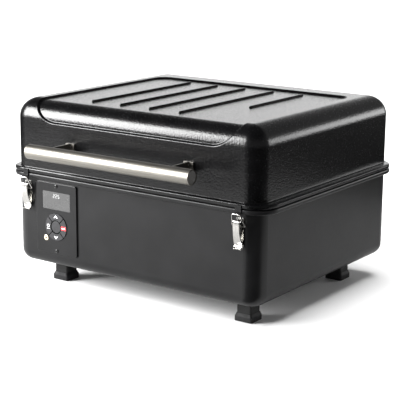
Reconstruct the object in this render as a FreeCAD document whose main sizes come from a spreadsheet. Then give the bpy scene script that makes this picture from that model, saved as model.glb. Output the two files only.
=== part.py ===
import FreeCAD, Part

import math
import os

import Sketcher
from FreeCAD import Placement, Rotation, Vector

# Table-top pellet smoker grill. Millimetres, +Z up, the front faces -Y, and the
# origin lies on the ground under the middle of the bounding box.

doc = FreeCAD.newDocument("PelletGrill")


# ---------------------------------------------------------------- driving sizes

SIZES = [
    ("overall_width", 533.4, "across the rims"),
    ("overall_depth", 508.0, "front of the handle to back of the hinges"),
    ("overall_height", 330.2, "ground to the top of the lid's ribs"),
    ("shell_width", 505.0, "tub and lid, outside"),
    ("shell_depth", 433.0, "tub and lid, outside"),
    ("shell_back", 245.8, "outside of the back wall"),
    ("shell_corner", 28.0, "upright corners of tub and lid"),
    ("wall", 2.0, "sheet of tub and lid"),
    ("tub_bottom", 41.0, "underside of the tub"),
    ("tub_fillet", 21.0, "round along the tub's bottom edge"),
    ("rim_top", 202.0, "top of the tub's rim"),
    ("rim_height", 8.0, "rolled edge of tub and of lid"),
    ("rim_front", 5.5, "rim standing out in front"),
    ("rim_back", 1.3, "rim standing out behind"),
    ("rim_corner", 38.7, "upright corners of the rims"),
    ("rim_round", 2.6, "round on the rims' outer edges"),
    ("rim_gap", 0.5, "between the closed lid and the tub"),
    ("lid_top", 329.6, "top face of the lid"),
    ("lid_fillet", 34.0, "round along the lid's top edge"),
    ("press_depth", 1.8, "depth of the panel pressed into the lid"),
    ("press_half", 206.0, "half the width of the pressed panel"),
    ("press_back", 178.4, "rear edge of the pressed panel"),
    ("press_low", 293.5, "lowest edge of the pressed panel, on the lid's front"),
    ("press_corner", 45.0, "lower corners of the pressed panel"),
    ("rib_pitch", 61.0, "between the ribs on the lid"),
    ("rib_width", 6.5, "each rib"),
    ("rib_front", -131.6, "front end of the long ribs"),
    ("rib_back", 155.4, "rear end of the ribs"),
    ("short_rib_front", -16.6, "front end of the short rib on the right"),
    ("foot_x", 194.8, "feet from the middle, sideways"),
    ("foot_y", 147.1, "feet from their middle, front to back"),
    ("foot_middle_y", 25.4, "middle of the four feet"),
    ("foot_width", 33.6, "rubber foot at the ground"),
    ("foot_height", 14.0, "rubber foot"),
    ("leg_width", 27.5, "square leg"),
    ("leg_bottom", 9.0, "lower end of the leg, inside the foot"),
    ("handle_radius", 12.5, "round handle bar"),
    ("handle_half", 166.5, "half the handle's length"),
    ("handle_z", 253.0, "axis of the handle"),
    ("bracket_x", 122.0, "handle brackets from the middle"),
    ("bracket_plate", 3.0, "sheet of the handle brackets"),
    ("bracket_height", 21.0, "handle bracket"),
    ("hinge_radius", 3.3, "barrel of the lid hinges"),
    ("hinge_pin", 1.6, "radius of the lid's hinge pins"),
    ("hinge_x", 150.0, "lid hinges from the middle"),
    ("hinge_width", 60.0, "each lid hinge"),
    ("hinge_z", 202.3, "axis of the lid hinges"),
    ("latch_x", 219.5, "latches from the middle"),
    ("panel_x", -155.0, "middle of the control panel"),
    ("panel_width", 90.0, "control panel"),
    ("panel_low", 66.0, "lower edge of the control panel"),
    ("panel_high", 190.6, "upper edge of the control panel"),
    ("panel_proud", 3.0, "control panel standing out from the tub"),
    ("screen_z", 159.5, "middle of the screen"),
    ("screen_width", 61.0, "screen"),
    ("screen_height", 31.0, "screen"),
    ("pad_z", 114.0, "middle of the button pad"),
    ("pad_radius", 24.0, "opening for the button pad"),
    ("middle_button", 10.6, "radius of the middle button"),
    ("button_gap", 1.5, "groove between buttons"),
    ("button_proud", 1.6, "buttons standing out from the panel"),
    ("jack_x", -178.0, "probe socket"),
    ("jack_z", 92.4, "probe socket"),
    ("partition_x", -98.0, "wall between the pellet bay and the cooking chamber"),
    ("sheet", 1.5, "sheet of the inner parts"),
    ("deck_top", 197.5, "deck over the pellet bay"),
    ("auger_z", 78.0, "axis of the auger"),
    ("auger_radius", 16.5, "auger flight"),
    ("pot_x", 76.0, "middle of the fire pot"),
    ("pot_radius", 38.0, "fire pot"),
    ("grate_z", 192.0, "middle of the grate's frame wire"),
]


class Size:
    """A length worked out from the sheet: its value, and the expression that gives it."""

    def __init__(self, value, text):
        self.value = value
        self.text = text

    def joined(self, other, sign, value):
        return Size(value, f"({self.text} {sign} {sized(other).text})")

    def __add__(self, other):
        return self.joined(other, "+", self.value + sized(other).value)

    def __sub__(self, other):
        return self.joined(other, "-", self.value - sized(other).value)

    def __mul__(self, other):
        return self.joined(other, "*", self.value * sized(other).value)

    def __truediv__(self, other):
        return self.joined(other, "/", self.value / sized(other).value)

    def __radd__(self, other):
        return sized(other) + self

    def __rsub__(self, other):
        return sized(other) - self

    def __rmul__(self, other):
        return sized(other) * self

    def __neg__(self):
        return self * -1


def sized(number):
    """A plain number as a Size."""
    if isinstance(number, Size):
        return number
    return Size(float(number), f"({number:.6g})")


class Sheet:
    """The document's spreadsheet, with each alias as an attribute."""

    def __init__(self, rows):
        self.cells = doc.addObject("Spreadsheet::Sheet", "Sizes")
        for row, (alias, value, meaning) in enumerate(rows, start=1):
            self.cells.set(f"A{row}", alias)
            self.cells.set(f"B{row}", f"{value}")
            self.cells.setAlias(f"B{row}", alias)
            self.cells.set(f"C{row}", meaning)
            setattr(self, alias, Size(value, f"Sizes.{alias}"))
        doc.recompute()


s = Sheet(SIZES)

FRONT = s.shell_back - s.shell_depth
SHELL_Y = s.shell_back - s.shell_depth / 2
HALF_WIDTH = s.shell_width / 2
LID_BASE = s.rim_top + s.rim_gap
HINGE_Y = s.overall_depth / 2 - s.hinge_radius
HANDLE_Y = s.handle_radius - s.overall_depth / 2
PANEL_FRONT = FRONT - s.panel_proud
DECK_UNDER = s.deck_top - s.sheet
CHAMBER_LEFT = s.partition_x + s.sheet
CHAMBER_RIGHT = HALF_WIDTH - s.wall
INSIDE_FRONT = FRONT + s.wall
INSIDE_BACK = s.shell_back - s.wall
FLOOR = s.tub_bottom + s.wall

# Places and small sizes that several pieces share.

LEG_BOLT = sized(3)
BOLT_SLACK = 0.2
FOOT_SLOPE_HEIGHT = 4.5
FOOT_TAPER = 28
HANDLE_SCREW = sized(2.0)
HANDLE_SCREW_STEP = 6
RUNNING_FIT = 0.05

LEVER_PIN_Y, LEVER_PIN_Z = FRONT - 8.2, sized(181)
BAIL_PIN_Y, BAIL_PIN_Z = FRONT - 4.6, sized(175)
BAIL_TOP_Y, BAIL_TOP_Z = FRONT - 12.6, sized(195)
BAIL_WIRE = sized(1.2)
PIN_RADIUS = sized(1.2)

PANEL_SCREW_HEIGHTS = (s.panel_low + 5.2, s.panel_high - 5.2)
PANEL_SCREW_HOLE = 2.2
SCREW_HEAD = sized(3.7)
LENS_DEPTH = 1.8
JACK_BODY = sized(3.6)
JACK_BORE = 1.8
INLET_X, INLET_Z = sized(-200), sized(80)

BIN_LEFT, BIN_RIGHT = s.partition_x - 134, s.partition_x - 18
BIN_FRONT, BIN_BACK = SHELL_Y - 91.3, SHELL_Y + 196.7
THROAT_LEFT, THROAT_RIGHT = s.partition_x - 106, s.partition_x - 28
THROAT_FRONT, THROAT_BACK = SHELL_Y - 16, SHELL_Y + 16
HOPPER_AXIS, HOPPER_AXIS_Z, HOPPER_PIN = BIN_RIGHT + 4, s.deck_top + 2.6, sized(1.1)
TUBE_RADIUS = s.auger_radius + 2.5
FAN_X, FAN_Y = s.partition_x - 80, SHELL_Y + 78.7

PROBE_Y, PROBE_Z, PROBE_RADIUS = SHELL_Y + 150, sized(168), sized(2.5)
IGNITER_Z, IGNITER_RADIUS = FLOOR + 9.5, sized(4.6)
TRAY_LEFT, TRAY_RIGHT = CHAMBER_LEFT + 8, CHAMBER_RIGHT - 10
TRAY_FRONT, TRAY_BACK = INSIDE_FRONT + 14, INSIDE_BACK - 14


# ---------------------------------------------------------------- building blocks

nodes = []


def bind(thing, name, size):
    thing.setExpression(name, sized(size).text)


def keep(thing, label):
    """Names a finished sub-part, which is then written to a file of that name."""
    thing.Label = label
    nodes.append(thing)
    return thing


def new_body():
    return doc.addObject("PartDesign::Body", "Body")


def origin_plane(body, role):
    return next(f for f in body.Origin.OriginFeatures if f.Role == role)


def new_sketch(body, role, level):
    """A sketch on one of the body's origin planes, moved along the axis to level."""
    sketch = body.newObject("Sketcher::SketchObject", "Sketch")
    sketch.AttachmentSupport = [(origin_plane(body, role), "")]
    sketch.MapMode = "FlatFace"
    toward = -1 if role == "XZ_Plane" else 1
    bind(sketch, "AttachmentOffset.Base.z", level * toward)
    return sketch


def pin_down(sketch, curve, point, x=None, y=None):
    """Fixes a point of a sketch's curve at distances from the origin."""
    for kind, place in (("DistanceX", x), ("DistanceY", y)):
        if place is None:
            continue
        place = sized(place)
        number = sketch.addConstraint(
            Sketcher.Constraint(kind, -1, 1, curve, point, place.value)
        )
        bind(sketch, f"Constraints[{number}]", place)


def polygon(*corners):
    """An outline of straight lines through corners, each an (x, y) pair."""

    def draw(sketch):
        corner_sizes = [(sized(x), sized(y)) for x, y in corners]
        spots = [Vector(x.value, y.value, 0) for x, y in corner_sizes]
        first = sketch.GeometryCount
        for a, b in zip(spots, spots[1:] + spots[:1]):
            sketch.addGeometry(Part.LineSegment(a, b), False)
        count = len(spots)
        for i in range(count):
            here, after = first + i, first + (i + 1) % count
            sketch.addConstraint(Sketcher.Constraint("Coincident", here, 2, after, 1))
        for i, (x, y) in enumerate(corner_sizes):
            pin_down(sketch, first + i, 1, x, y)

    return draw


def rectangle(left, right, low, high, corner=None):
    """An upright rectangle, with round corners if a corner radius is given."""
    if corner is None:
        return polygon((left, low), (right, low), (right, high), (left, high))

    def draw(sketch):
        x0, x1, y0, y1 = (sized(v).value for v in (left, right, low, high))
        r = sized(corner).value
        first = sketch.GeometryCount
        sides = [
            ((x0 + r, y0), (x1 - r, y0)),
            ((x1, y0 + r), (x1, y1 - r)),
            ((x1 - r, y1), (x0 + r, y1)),
            ((x0, y1 - r), (x0, y0 + r)),
        ]
        middles = [(x1 - r, y0 + r), (x1 - r, y1 - r), (x0 + r, y1 - r), (x0 + r, y0 + r)]
        for turn, ((a, b), (x, y)) in enumerate(zip(sides, middles)):
            sketch.addGeometry(Part.LineSegment(Vector(*a, 0), Vector(*b, 0)), False)
            round_part = Part.Circle(Vector(x, y, 0), Vector(0, 0, 1), r)
            start = (turn - 1) * math.pi / 2
            arc = Part.ArcOfCircle(round_part, start, start + math.pi / 2)
            sketch.addGeometry(arc, False)
        for i in range(4):
            line, arc, after = first + 2 * i, first + 2 * i + 1, first + (2 * i + 2) % 8
            sketch.addConstraint(Sketcher.Constraint("Tangent", line, 2, arc, 1))
            sketch.addConstraint(Sketcher.Constraint("Tangent", arc, 2, after, 1))
            level = "Horizontal" if i % 2 == 0 else "Vertical"
            sketch.addConstraint(Sketcher.Constraint(level, line))
            if i:
                sketch.addConstraint(Sketcher.Constraint("Equal", first + 1, arc))
        number = sketch.addConstraint(Sketcher.Constraint("Radius", first + 1, r))
        bind(sketch, f"Constraints[{number}]", corner)
        pin_down(sketch, first, 1, y=low)
        pin_down(sketch, first + 2, 1, x=right)
        pin_down(sketch, first + 4, 1, y=high)
        pin_down(sketch, first + 6, 1, x=left)

    return draw


def circle(x, y, radius):
    def draw(sketch):
        centre = Vector(sized(x).value, sized(y).value, 0)
        shape = Part.Circle(centre, Vector(0, 0, 1), sized(radius).value)
        curve = sketch.addGeometry(shape, False)
        pin_down(sketch, curve, 3, x, y)
        number = sketch.addConstraint(
            Sketcher.Constraint("Radius", curve, sized(radius).value)
        )
        bind(sketch, f"Constraints[{number}]", radius)

    return draw


def extrude(body, role, outlines, low, high, cut=False, taper=0):
    """Adds or cuts the outlines from low to high along the plane's own axis."""
    start = high if role == "XZ_Plane" else low
    sketch = new_sketch(body, role, sized(start))
    for draw in outlines if isinstance(outlines, list) else [outlines]:
        draw(sketch)
    kind = "PartDesign::Pocket" if cut else "PartDesign::Pad"
    feature = body.newObject(kind, "Cut" if cut else "Add")
    feature.Profile = sketch
    feature.Reversed = cut
    bind(feature, "Length", sized(high) - low)
    if taper:
        feature.TaperAngle = taper
    return feature


def round_edges(body, radius, chosen):
    """Rounds the edges of the body that chosen picks."""
    doc.recompute()
    last = body.Tip
    names = [f"Edge{i}" for i, e in enumerate(last.Shape.Edges, start=1) if chosen(e)]
    fillet = body.newObject("PartDesign::Fillet", "Round")
    fillet.Base = (last, names)
    bind(fillet, "Radius", radius)
    return fillet


def edges_at_height(z):
    """Picks the edges that lie flat at height z."""
    height = sized(z).value

    def chosen(edge):
        box = edge.BoundBox
        return abs(box.ZMin - height) < 0.01 and abs(box.ZMax - height) < 0.01

    return chosen


def edges_at_front(y):
    """Picks the edges that lie in the upright plane at y."""
    place = sized(y).value

    def chosen(edge):
        box = edge.BoundBox
        return abs(box.YMin - place) < 0.01 and abs(box.YMax - place) < 0.01

    return chosen


def fused(*things, merge_faces=True):
    union = doc.addObject("Part::MultiFuse", "Union")
    union.Shapes = list(things)
    union.Refine = merge_faces
    return union


def cut_away(base, tool):
    difference = doc.addObject("Part::Cut", "Difference")
    difference.Base = base
    difference.Tool = tool
    return difference


def shared(a, b):
    overlap = doc.addObject("Part::MultiCommon", "Shared")
    overlap.Shapes = [a, b]
    return overlap


def mirrored(thing):
    """The same piece on the other side of the middle."""
    twin = doc.addObject("Part::Mirroring", "Twin")
    twin.Source = thing
    twin.Normal = Vector(1, 0, 0)
    return twin


def cylinder(x, y, z, radius, length, direction="Z"):
    """A cylinder that starts at x, y, z and runs along a row axis."""
    rod = doc.addObject("Part::Cylinder", "Rod")
    bind(rod, "Radius", radius)
    bind(rod, "Height", length)
    turns = {"X": Rotation(Vector(0, 1, 0), 90), "Y": Rotation(Vector(1, 0, 0), -90)}
    rod.Placement = Placement(Vector(), turns.get(direction, Rotation()))
    for axis, place in zip("xyz", (x, y, z)):
        bind(rod, f"Placement.Base.{axis}", place)
    return rod


def box(x0, x1, y0, y1, z0, z1):
    block = doc.addObject("Part::Box", "Block")
    bind(block, "Length", sized(x1) - x0)
    bind(block, "Width", sized(y1) - y0)
    bind(block, "Height", sized(z1) - z0)
    for axis, place in zip("xyz", (x0, y0, z0)):
        bind(block, f"Placement.Base.{axis}", place)
    return block


def bent_rod(points, radius, bend):
    """A round wire through points, with a bend of the given radius at each corner."""
    points = [Vector(*(sized(v).value for v in p)) for p in points]
    edges = []
    here = points[0]
    for before, corner, after in zip(points, points[1:], points[2:]):
        back = (before - corner).normalize()
        ahead = (after - corner).normalize()
        half = back.getAngle(ahead) / 2
        reach = bend / math.tan(half)
        start, end = corner + back * reach, corner + ahead * reach
        toward = (back + ahead).normalize()
        middle = corner + toward * (bend / math.sin(half) - bend)
        edges.append(Part.LineSegment(here, start).toShape())
        edges.append(Part.Arc(start, middle, end).toShape())
        here = end
    edges.append(Part.LineSegment(here, points[-1]).toShape())
    path = Part.Wire(edges)
    section = Part.Wire([Part.Circle(points[0], points[1] - points[0], radius).toShape()])
    return path.makePipeShell([section], True, False)


def part_feature(shape):
    thing = doc.addObject("Part::Feature", "Formed")
    thing.Shape = shape
    return thing


# ---------------------------------------------------------------- tub


def shell_form(inset, low, high, fillet, round_top):
    """The plan of tub and lid, inset, as a solid with one long edge rounded."""
    body = new_body()
    plan = rectangle(
        inset - HALF_WIDTH,
        HALF_WIDTH - inset,
        FRONT + inset,
        s.shell_back - inset,
        s.shell_corner - inset,
    )
    extrude(body, "XY_Plane", plan, low, high)
    round_edges(body, fillet, edges_at_height(high if round_top else low))
    return body


def rim_form(low, rounds):
    """The rolled edge around tub or lid, from low upward."""
    body = new_body()
    half = s.overall_width / 2
    plan = rectangle(
        -half, half, FRONT - s.rim_front, s.shell_back + s.rim_back, s.rim_corner
    )
    high = low + s.rim_height
    extrude(body, "XY_Plane", plan, low, high)
    for z in rounds(low, high):
        round_edges(body, s.rim_round, edges_at_height(z))
    inner = rectangle(
        s.wall / 2 - HALF_WIDTH,
        HALF_WIDTH - s.wall / 2,
        FRONT + s.wall / 2,
        s.shell_back - s.wall / 2,
        s.shell_corner - s.wall / 2,
    )
    extrude(body, "XY_Plane", inner, low, high, cut=True)
    return body


def row_of_slots(middle, count, pitch, length, width, across):
    """Outlines of slots side by side, around middle = (x, y)."""
    outlines = []
    for i in range(count):
        step = (i - (count - 1) / 2) * pitch
        x, y = (sized(v) for v in middle)
        if across:
            y = y + step
            outlines.append(
                rectangle(x - length / 2, x + length / 2, y - width / 2, y + width / 2, width * 0.49)
            )
        else:
            x = x + step
            outlines.append(
                rectangle(x - width / 2, x + width / 2, y - length / 2, y + length / 2, width * 0.49)
            )
    return outlines


def make_tub():
    outside = shell_form(sized(0), s.tub_bottom, s.rim_top, s.tub_fillet, False)
    inside = shell_form(s.wall, FLOOR, s.rim_top + 1, s.tub_fillet - s.wall, False)
    rim = rim_form(s.rim_top - s.rim_height, lambda low, high: [high, low])
    skin = fused(cut_away(outside, inside), rim)

    openings = new_body()
    fan_slots = row_of_slots((FAN_X, FAN_Y), 7, 9, 62, 4.5, False)
    extrude(openings, "XY_Plane", fan_slots, s.tub_bottom - 1, FLOOR + 1)
    back = (s.shell_back - s.wall - 1, s.shell_back + 1)
    exhaust = row_of_slots((30, 168), 3, 12, 110, 5, True)
    extrude(openings, "XZ_Plane", exhaust, *back)
    front_window = rectangle(s.panel_x - 38, s.panel_x + 38, s.panel_low + 12, 180)
    extrude(openings, "XZ_Plane", front_window, FRONT - 1, INSIDE_FRONT + 1)
    inlet = rectangle(INLET_X - 14.2, INLET_X + 14.2, INLET_Z - 10.2, INLET_Z + 10.2)
    extrude(openings, "XZ_Plane", inlet, *back)
    leg_holes = [circle(x, y, LEG_BOLT + BOLT_SLACK) for x, y in leg_places()]
    extrude(openings, "XY_Plane", leg_holes, s.tub_bottom - 1, FLOOR + 1)
    screw_holes = [circle(s.panel_x, z, PANEL_SCREW_HOLE) for z in PANEL_SCREW_HEIGHTS]
    extrude(openings, "XZ_Plane", screw_holes, FRONT - 1, INSIDE_FRONT + 1)
    return keep(cut_away(skin, openings), "lower_shell")


def leg_places():
    return [
        (side * s.foot_x, s.foot_middle_y + end * s.foot_y)
        for end in (-1, 1)
        for side in (-1, 1)
    ]


# ---------------------------------------------------------------- legs and feet


def make_leg(name, x, y, side):
    leg = new_body()
    half = s.leg_width / 2
    plan = rectangle(x - half, x + half, y - half, y + half, 2.5)
    extrude(leg, "XY_Plane", plan, s.leg_bottom, s.tub_bottom)
    hollow = rectangle(x - half + 2, x + half - 2, y - half + 2, y + half - 2)
    extrude(leg, "XY_Plane", hollow, s.leg_bottom, s.tub_bottom - 3, cut=True)
    outer = x + half * side
    drain = rectangle(y + 1, y + 6, s.tub_bottom - 12, s.tub_bottom - 5, 1.5)
    reach = (outer - 3, outer + 1) if side > 0 else (outer - 1, outer + 3)
    extrude(leg, "YZ_Plane", drain, *reach, cut=True)
    extrude(leg, "XY_Plane", circle(x, y, LEG_BOLT + BOLT_SLACK), s.tub_bottom - 4, s.tub_bottom, cut=True)
    keep(leg, f"leg_{name}")

    foot = new_body()
    half = s.foot_width / 2
    base = rectangle(x - half, x + half, y - half, y + half, 3.5)
    shoulder = s.foot_height - FOOT_SLOPE_HEIGHT
    extrude(foot, "XY_Plane", base, 0, shoulder)
    extrude(foot, "XY_Plane", base, shoulder, s.foot_height, taper=-FOOT_TAPER)
    half = s.leg_width / 2 + 0.05
    socket = rectangle(x - half, x + half, y - half, y + half, 2.5)
    extrude(foot, "XY_Plane", socket, s.leg_bottom, s.foot_height, cut=True)
    keep(foot, f"foot_{name}")


def make_legs():
    names = ("front_left", "front_right", "rear_left", "rear_right")
    for name, (x, y) in zip(names, leg_places()):
        make_leg(name, x, y, -1 if name.endswith("left") else 1)
    bolts = []
    for x, y in leg_places():
        bolts.append(cylinder(x, y, s.tub_bottom - 8, LEG_BOLT, 11))
        bolts.append(cylinder(x, y, FLOOR, LEG_BOLT * 2, 4))
        bolts.append(cylinder(x, y, s.tub_bottom - 8, LEG_BOLT * 2, 5))
    keep(fused(*bolts), "leg_bolts")


# ---------------------------------------------------------------- lid


def press_region(grow):
    """The space over the panel that is pressed into the lid's top and front."""
    half = s.press_half + grow
    plan = new_body()
    outline = rectangle(-half, half, FRONT - 60, s.press_back + grow, 22)
    extrude(plan, "XY_Plane", outline, s.press_low - 20, s.lid_top + 10)
    face = new_body()
    outline = rectangle(-half, half, s.press_low - grow, s.lid_top + 60, s.press_corner)
    extrude(face, "XZ_Plane", outline, FRONT - 10, s.press_back + 20)
    return shared(plan, face)


def pressed_form(inset, low):
    """The lid's form at a given inset, with the panel pressed in."""
    sunk = inset + s.press_depth
    plain = shell_form(inset, low, s.lid_top - inset, s.lid_fillet - inset, True)
    lower = shell_form(sunk, low, s.lid_top - sunk, s.lid_fillet - sunk, True)
    return fused(cut_away(plain, press_region(inset)), lower)


def make_lid():
    outside = pressed_form(sized(0), LID_BASE)
    inside = pressed_form(s.wall, LID_BASE - 1)
    rim = rim_form(LID_BASE, lambda low, high: [high, low])

    ribs = new_body()
    half = s.rib_width / 2
    outlines = []
    for i in range(-2, 3):
        x = i * s.rib_pitch
        near = s.short_rib_front if i == 2 else s.rib_front
        outlines.append(rectangle(x - half, x + half, near, s.rib_back, half * 0.98))
    top = s.overall_height
    extrude(ribs, "XY_Plane", outlines, s.lid_top - s.press_depth - 1, top)
    round_edges(ribs, 1.6, edges_at_height(top))

    holes = new_body()
    screw_heights = (s.handle_z - HANDLE_SCREW_STEP, s.handle_z + HANDLE_SCREW_STEP)
    spots = [
        circle(side * s.bracket_x, z, HANDLE_SCREW + 0.2)
        for side in (-1, 1)
        for z in screw_heights
    ]
    extrude(holes, "XZ_Plane", spots, FRONT - 1, INSIDE_FRONT + 1)
    whole = fused(cut_away(outside, inside), rim, ribs)
    return keep(cut_away(whole, holes), "lid_shell")


def make_handle():
    radius = s.handle_radius
    bore = radius - 1.5
    bar = cylinder(-s.handle_half, HANDLE_Y, s.handle_z, radius, s.handle_half * 2, "X")
    inner = cylinder(
        -s.handle_half - 1, HANDLE_Y, s.handle_z, bore, s.handle_half * 2 + 2, "X"
    )
    keep(cut_away(bar, inner), "handle_bar")

    caps = []
    for side in (-1, 1):
        start = s.handle_half - 8 if side > 0 else -s.handle_half
        caps.append(cylinder(start, HANDLE_Y, s.handle_z, bore, 8, "X"))
    keep(fused(*caps), "handle_end_caps")

    half = s.bracket_height / 2
    low, high = s.handle_z - half, s.handle_z + half
    for name, side in (("left", -1), ("right", 1)):
        x = side * s.bracket_x
        plate = s.bracket_plate / 2
        web = box(x - plate, x + plate, HANDLE_Y, FRONT, low, high)
        foot = box(x - 9, x + 9, FRONT - s.bracket_plate, FRONT, low, high)
        around = cylinder(x - 20, HANDLE_Y, s.handle_z, radius, 40, "X")
        bracket = cut_away(fused(web, foot), around)
        drills = [
            cylinder(x, FRONT - 4, s.handle_z + step, HANDLE_SCREW + 0.05, 6, "Y")
            for step in (-HANDLE_SCREW_STEP, HANDLE_SCREW_STEP)
        ]
        keep(cut_away(bracket, fused(*drills)), f"handle_bracket_{name}")

    screws = []
    for side in (-1, 1):
        for step in (-HANDLE_SCREW_STEP, HANDLE_SCREW_STEP):
            x, z = side * s.bracket_x, s.handle_z + step
            reach = s.bracket_plate + s.wall + 2
            screws.append(cylinder(x, FRONT - s.bracket_plate, z, HANDLE_SCREW, reach, "Y"))
            screws.append(cylinder(x, INSIDE_FRONT, z, HANDLE_SCREW * 2, 3, "Y"))
    keep(fused(*screws), "handle_screws")


# ---------------------------------------------------------------- lid hinges


def hinge_leaf(side, lower):
    """One leaf of a lid hinge: a plate on the back wall, with its share of the barrel."""
    x = side * s.hinge_x
    half = s.hinge_width / 2
    near = s.shell_back
    plate_back = HINGE_Y - s.hinge_pin - 0.1
    lip = s.shell_back + s.rim_back + 0.3
    if lower:
        far_end, rim_face = s.rim_top - 42, s.rim_top - s.rim_height - 0.3
    else:
        far_end, rim_face = LID_BASE + 42, LID_BASE + s.rim_height + 0.3
    leaf = new_body()
    profile = polygon(
        (near, far_end),
        (plate_back, far_end),
        (plate_back, s.hinge_z),
        (lip, s.hinge_z),
        (lip, rim_face),
        (near, rim_face),
    )
    extrude(leaf, "YZ_Plane", profile, x - half, x + half)
    barrel = cylinder(x - half, HINGE_Y, s.hinge_z, s.hinge_radius, s.hinge_width, "X")
    third = s.hinge_width / 6
    if lower:
        spans = [(x - third, x + third)]
    else:
        spans = [(x - half - 1, x - third + 0.3), (x + third - 0.3, x + half + 1)]
    free = [
        box(x0, x1, lip - 1, HINGE_Y + 5, s.hinge_z - 5, s.hinge_z + 5) for x0, x1 in spans
    ]
    bore = cylinder(x - half - 1, HINGE_Y, s.hinge_z, s.hinge_pin + 0.05, s.hinge_width + 2, "X")
    return cut_away(fused(leaf, barrel), fused(bore, *free))


def make_hinges():
    for name, side in (("left", -1), ("right", 1)):
        keep(hinge_leaf(side, True), f"hinge_body_leaf_{name}")
        keep(hinge_leaf(side, False), f"hinge_lid_leaf_{name}")
    pins = [
        cylinder(
            side * s.hinge_x - s.hinge_width / 2,
            HINGE_Y,
            s.hinge_z,
            s.hinge_pin,
            s.hinge_width,
            "X",
        )
        for side in (-1, 1)
    ]
    keep(fused(*pins), "hinge_pins")


# ---------------------------------------------------------------- latches


def band(points, thickness):
    """The outline of a bent strip whose front follows points, each (y, z)."""
    spots = [Vector(sized(y).value, sized(z).value, 0) for y, z in points]
    shifted = []
    for i, (y, z) in enumerate(points):
        ahead = spots[min(i + 1, len(spots) - 1)] - spots[max(i - 1, 0)]
        ahead.normalize()
        shifted.append((y - ahead.y * thickness, z + ahead.x * thickness))
    return polygon(*points, *reversed(shifted))


def latch_base():
    x = s.latch_x
    base = new_body()
    plate = rectangle(x - 7, x + 7, 146, 188, 2)
    extrude(base, "XZ_Plane", plate, FRONT - 1.2, FRONT)
    head = [(2.0, -0.6), (1.9, 1.0), (0.9, 2.0), (-0.9, 2.0), (-2.0, 1.0), (-2.0, -1.2)]
    ear = polygon(
        (FRONT, 176.4),
        *[(LEVER_PIN_Y + y, LEVER_PIN_Z + z) for y, z in head],
        (FRONT, 168),
    )
    for low in (x - 5.2, x + 4.0):
        extrude(base, "YZ_Plane", ear, low, low + 1.2)
    hole = circle(LEVER_PIN_Y, LEVER_PIN_Z, PIN_RADIUS)
    extrude(base, "YZ_Plane", hole, x - 6, x + 6, cut=True)
    return base


def latch_lever():
    """A bent strip with two side flanges, wide at the free end below."""
    x = s.latch_x
    strip = new_body()
    path = [
        (FRONT - 10.2, 184.4),
        (FRONT - 11.8, 182.2),
        (FRONT - 12.1, 172),
        (FRONT - 11.0, 162),
        (FRONT - 8.0, 152),
        (FRONT - 5.2, 145.6),
        (FRONT - 5.0, 143),
        (FRONT - 6.6, 140.8),
        (FRONT - 9.0, 139.8),
    ]
    extrude(strip, "YZ_Plane", band(path, 1.1), x - 9, x + 9)
    face = new_body()
    outline = polygon(
        (x - 6.6, 187), (x - 6.6, 176), (x - 8.5, 158), (x - 8.5, 142), (x - 6, 138),
        (x + 6, 138), (x + 8.5, 142), (x + 8.5, 158), (x + 6.6, 176), (x + 6.6, 187),
    )
    extrude(face, "XZ_Plane", outline, FRONT - 16, FRONT)
    sides = []
    for low in (x - 6.6, x + 5.5):
        side = new_body()
        flange = polygon(
            (FRONT - 11.6, 182.6),
            (FRONT - 11.7, 172),
            (FRONT - 10.2, 161),
            (FRONT - 8.6, 161),
            (FRONT - 2.4, 172.6),
            (FRONT - 2.4, 177.4),
            (FRONT - 5.6, 183.4),
            (FRONT - 10.2, 184),
        )
        extrude(side, "YZ_Plane", flange, low, low + 1.1)
        sides.append(side)
    drills = fused(
        cylinder(x - 9, LEVER_PIN_Y, LEVER_PIN_Z, PIN_RADIUS + RUNNING_FIT, 18, "X"),
        cylinder(x - 9, BAIL_PIN_Y, BAIL_PIN_Z, BAIL_WIRE + RUNNING_FIT, 18, "X"),
    )
    return cut_away(fused(shared(strip, face), *sides), drills)


def latch_bail():
    """The wire loop that pulls the lid's keeper down."""
    x = s.latch_x
    route = [
        (x - 5.6, BAIL_PIN_Y, BAIL_PIN_Z),
        (x - 12, BAIL_PIN_Y, BAIL_PIN_Z),
        (x - 7.2, BAIL_TOP_Y, BAIL_TOP_Z),
        (x + 7.2, BAIL_TOP_Y, BAIL_TOP_Z),
        (x + 12, BAIL_PIN_Y, BAIL_PIN_Z),
        (x + 5.6, BAIL_PIN_Y, BAIL_PIN_Z),
    ]
    return part_feature(bent_rod(route, BAIL_WIRE.value, 2.2))


def lid_keeper():
    """A strip that hangs from the lid's rim, with a lip for the latch's loop."""
    x = s.latch_x
    rim_face = FRONT - s.rim_front
    strip = new_body()
    profile = polygon(
        (rim_face, LID_BASE + s.rim_height - 1.5),
        (rim_face - 1.9, LID_BASE + s.rim_height - 1.5),
        (rim_face - 1.9, 193.4),
        (BAIL_TOP_Y + BAIL_WIRE + 0.7, 193.4),
        (BAIL_TOP_Y + BAIL_WIRE + 0.7, 191.8),
        (rim_face - 0.5, 191.8),
        (rim_face - 0.5, LID_BASE),
        (rim_face, LID_BASE),
    )
    extrude(strip, "YZ_Plane", profile, x - 5.4, x + 5.4)
    return strip


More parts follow.
